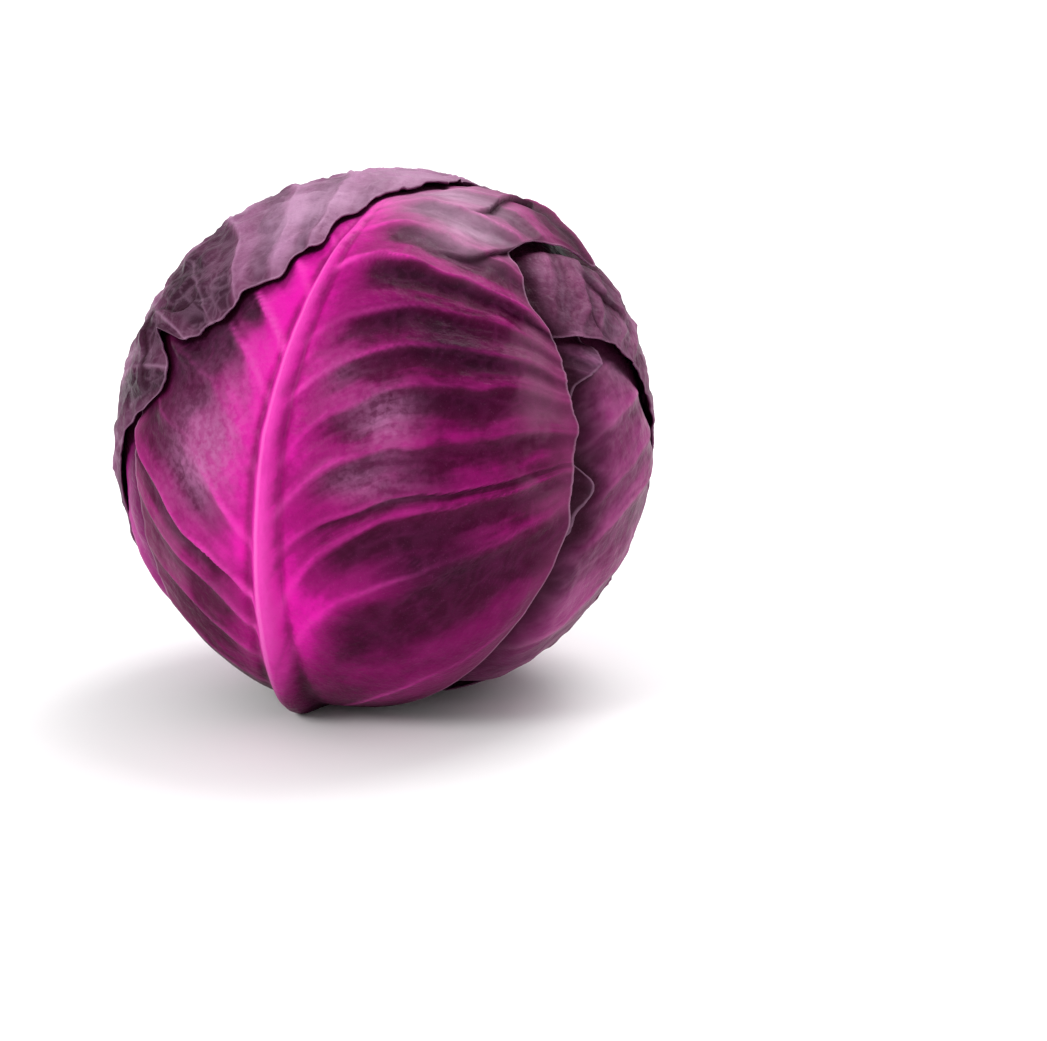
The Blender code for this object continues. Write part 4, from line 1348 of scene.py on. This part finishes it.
# %% The leaves' own tints
DRY, WAX_AND_SHEEN, LILAC = (0.44, 0.25, 0.37), (0.62, 0.50, 0.62), (0.78, 0.62, 0.73)
ROSE_RIB, PLUM_EDGE = (0.74, 0.32, 0.60), (0.46, 0.24, 0.38)
PLUM_WAX_AND_SHEEN, PLUM_INSIDE = (0.56, 0.40, 0.54), (0.52, 0.28, 0.44)
tints_of = {
    "crown_leaf": dict(
        deep=(0.36, 0.15, 0.28), glow=(0.59, 0.38, 0.53), vein=(0.74, 0.57, 0.69), rib=(0.68, 0.48, 0.62),
        edge=(0.42, 0.22, 0.34), dry=DRY, wax_and_sheen_tint=(0.57, 0.45, 0.57), pale=(0.74, 0.57, 0.69),
        inside=(0.46, 0.26, 0.40)),
    "front_leaf": dict(
        deep=(0.29, 0.00, 0.18), glow=(0.84, 0.06, 0.62), vein=(0.88, 0.32, 0.70), rib=(0.92, 0.40, 0.75),
        edge=(0.48, 0.20, 0.36), dry=(0.48, 0.26, 0.38), wax_and_sheen_tint=(0.68, 0.42, 0.60), pale=LILAC,
        inside=(0.66, 0.34, 0.56)),
    "right_leaf": dict(
        deep=(0.33, 0.12, 0.24), glow=(0.58, 0.29, 0.47), vein=(0.64, 0.37, 0.53), rib=(0.72, 0.34, 0.60),
        edge=(0.40, 0.22, 0.33), dry=DRY, wax_and_sheen_tint=(0.56, 0.44, 0.54), pale=(0.66, 0.48, 0.60),
        inside=(0.44, 0.22, 0.36)),
    "ruffled_leaf": dict(
        deep=(0.30, 0.08, 0.22), glow=(0.60, 0.26, 0.48), vein=(0.70, 0.42, 0.60), rib=(0.72, 0.34, 0.60),
        edge=(0.46, 0.26, 0.40), dry=DRY, wax_and_sheen_tint=WAX_AND_SHEEN, pale=(0.74, 0.56, 0.68), inside=(0.46, 0.20, 0.36)),
    "side_leaf": dict(
        deep=(0.28, 0.06, 0.19), glow=(0.58, 0.20, 0.45), vein=(0.74, 0.44, 0.62), rib=ROSE_RIB,
        edge=PLUM_EDGE, dry=DRY, wax_and_sheen_tint=(0.56, 0.38, 0.52), pale=LILAC, inside=PLUM_INSIDE),
    "flank_leaf": dict(
        deep=(0.32, 0.07, 0.23), glow=(0.64, 0.18, 0.50), vein=(0.72, 0.36, 0.60), rib=ROSE_RIB,
        edge=PLUM_EDGE, dry=DRY, wax_and_sheen_tint=PLUM_WAX_AND_SHEEN, pale=LILAC, inside=PLUM_INSIDE),
    "left_leaf": dict(
        deep=(0.32, 0.05, 0.23), glow=(0.64, 0.14, 0.50), vein=(0.72, 0.34, 0.60), rib=ROSE_RIB,
        edge=PLUM_EDGE, dry=DRY, wax_and_sheen_tint=PLUM_WAX_AND_SHEEN, pale=LILAC, inside=PLUM_INSIDE),
    "back_leaf": dict(
        deep=(0.33, 0.03, 0.23), glow=(0.70, 0.10, 0.54), vein=(0.78, 0.30, 0.64), rib=(0.80, 0.34, 0.64),
        edge=(0.48, 0.24, 0.39), dry=DRY, wax_and_sheen_tint=(0.58, 0.42, 0.56), pale=LILAC, inside=(0.56, 0.30, 0.48)),
}
markings_of = {
    "crown_leaf": dict(net=0.24, cell_tone=0.75, wrinkled=1.0),
    "front_leaf": dict(net=0.06),
    "right_leaf": dict(net=0.25, cell_tone=0.6, wrinkled=0.9),
    "ruffled_leaf": dict(net=0.4),
}
for slot, piece in leaf_pieces.items():
    skin = leaf_skin(slot.replace("_", " ") + " skin", tints_of[slot], **markings_of.get(slot, {}))
    piece.data.materials.append(skin)
    print(skin.name, len(skin.node_tree.nodes), "nodes")

# %% [markdown]
# ## Inner leaves, heart and stalk
#
# No light reaches the inside of the head, so the leaves there are pale at the veins and violet on their
# faces only. The stalk is cream and woody: fibres run up its sides, and its cut face has browned a little
# round the rim.


# %% Inner finishes
def inner_skin():
    f = Finish("inner leaf skin", {"Specular IOR Level": 0.45, "Roughness": 0.4})
    grain = f.noise(0.003, 3.0)
    colour = f.mix(grain.between(0.3, 0.7), paint(0.42, 0.12, 0.40), paint(0.56, 0.22, 0.52))
    colour = f.mix((f.mask("vein") * 0.8 + f.mask("rib") * 0.9).clear(), colour, paint(0.90, 0.82, 0.88))
    bump = f.bumped(grain, 0.0004, 0.3)
    return f.done(Base_Color=colour, Roughness=0.34 + grain * 0.16, Normal=bump)


def heart_skin():
    f = Finish("heart bud skin", {"Specular IOR Level": 0.45})
    grain = f.noise(0.0025, 3.0)
    colour = f.mix(f.mask("fold") * (0.7 + grain * 0.4), paint(0.48, 0.20, 0.46), paint(0.90, 0.84, 0.84))
    return f.done(Base_Color=colour, Roughness=0.36 + grain * 0.16, Normal=f.bumped(grain, 0.0004, 0.3))


def stalk_skin():
    f = Finish("cut stalk skin", {"Specular IOR Level": 0.35})
    grain = f.noise(0.0016, 4.0)
    along_axis = f.stretched((0.0007, 0.0007, 0.012))
    fibres = f.node("ShaderNodeTexNoise", {}, {"Vector": along_axis, "Scale": 1.0, "Detail": 3.0}, "Fac")
    inputs = {"Vector": f.place(), "Scale": 1 / 0.0009}
    pores = f.node("ShaderNodeTexVoronoi", {"feature": "DISTANCE_TO_EDGE"}, inputs, "Distance")
    blotch = f.noise(0.008, 4.0)
    colour = f.mix(fibres, paint(0.80, 0.70, 0.58), paint(0.92, 0.87, 0.78))
    colour = f.mix((blotch.between(0.45, 0.75) * 0.5).clear(), colour, paint(0.78, 0.56, 0.60))
    pith = f.mix(pores.between(0.0, 0.12), paint(0.80, 0.72, 0.56), paint(0.93, 0.89, 0.80))
    colour = f.mix(f.mask("cut"), colour, pith)
    colour = f.mix((f.mask("ring") * (0.4 + grain * 0.6)).clear(), colour, paint(0.74, 0.62, 0.42))
    brown = f.mask("reach").between(0.86, 1.0) * f.mask("cut") + f.mask("scar")
    colour = f.mix((brown * (0.25 + grain * 0.6)).clear(), colour, paint(0.56, 0.40, 0.26))
    bump = f.bumped(fibres, 0.0005, 0.5)
    bump = f.bumped(grain, 0.0003, 0.4, bump)
    return f.done(Base_Color=colour, Roughness=0.55 + grain * 0.25, Normal=bump)


violet = inner_skin()
for piece in inner_pieces:
    piece.data.materials.append(violet)
heart_piece.data.materials.append(heart_skin())
stalk_piece.data.materials.append(stalk_skin())
print("finished:", len(inner_pieces), "inner leaves, the heart and the stalk")

# %% [markdown]
# ## Floor, light and camera
#
# A pale floor big enough to fill the view, one large soft light above and to the left in front, a wide
# one above and behind, a very wide one overhead, and a pale sky to open the shadows. A long lens from a
# metre away keeps the head's outline close to how it looks from far off.

# %% Floor
FLOOR_REACH = 6.0


def pale_floor():
    mesh = bpy.data.meshes.new("studio floor")
    corners = [(x * FLOOR_REACH, y * FLOOR_REACH, 0) for x, y in ((-1, -1), (1, -1), (1, 1), (-1, 1))]
    mesh.from_pydata(corners, [], [(0, 1, 2, 3)])
    piece = bpy.data.objects.new("studio_floor", mesh)
    f = Finish("studio floor", {"Roughness": 0.9, "Specular IOR Level": 0.1})
    paper = f.mix(f.noise(0.05, 2.0), paint(0.955, 0.955, 0.955), paint(0.965, 0.965, 0.965))
    mesh.materials.append(f.done(Base_Color=paper))
    bpy.context.scene.collection.objects.link(piece)
    print("floor", 2 * FLOOR_REACH, "m across")


pale_floor()

# %% [markdown]
# The key light is the smallest, so it sets the side that is lit and the direction of the shadow. The
# others are larger than the head many times over, so they fill without shadows of their own.

# %% Lights
AIM = (0.0, 0.0, 0.08)
SKY_STRENGTH = 0.56


def soft_light(name, place, size, watts):
    data = bpy.data.lights.new(name, "AREA")
    data.shape, data.size, data.size_y, data.energy = "RECTANGLE", size, size, watts
    lamp = bpy.data.objects.new(name, data)
    lamp.location = place
    lamp.rotation_mode = "QUATERNION"
    lamp.rotation_quaternion = (Vector(AIM) - Vector(place)).to_track_quat("-Z", "Y")
    bpy.context.scene.collection.objects.link(lamp)
    print(name, size, "m,", watts, "W")


soft_light("key", (-1.9, -1.7, 1.7), 1.0, 40.0)
soft_light("rear", (1.0, 1.1, 2.6), 1.8, 56.0)
soft_light("ceiling", (0.0, 0.0, 2.8), 8.0, 90.0)
sky = bpy.data.worlds.new("studio")
sky.use_nodes = True
sky.node_tree.nodes["Background"].inputs["Color"].default_value = (1.0, 1.0, 1.0, 1.0)
sky.node_tree.nodes["Background"].inputs["Strength"].default_value = SKY_STRENGTH
bpy.context.scene.world = sky
bpy.context.scene.view_settings.view_transform = "Standard"

# %% [markdown]
# The camera stands a little above the head and looks down by 15 degrees.

# %% Camera
CAMERA_PLACE = (0.0423, -0.9723, 0.3130)
LOOKS_DOWN = 15.0
SENSOR_WIDTH, LENS = 36.0, 112.47


def long_lens_camera():
    data = bpy.data.cameras.new("camera")
    data.sensor_width, data.lens = SENSOR_WIDTH, LENS
    data.clip_start, data.clip_end = 0.05, 50.0
    made = bpy.data.objects.new("camera", data)
    made.location = CAMERA_PLACE
    made.rotation_euler = (math.radians(90.0 - LOOKS_DOWN), 0.0, 0.0)
    bpy.context.scene.collection.objects.link(made)
    return made


bpy.context.scene.camera = long_lens_camera()
print("camera at", CAMERA_PLACE, "with a lens of", LENS, "mm")
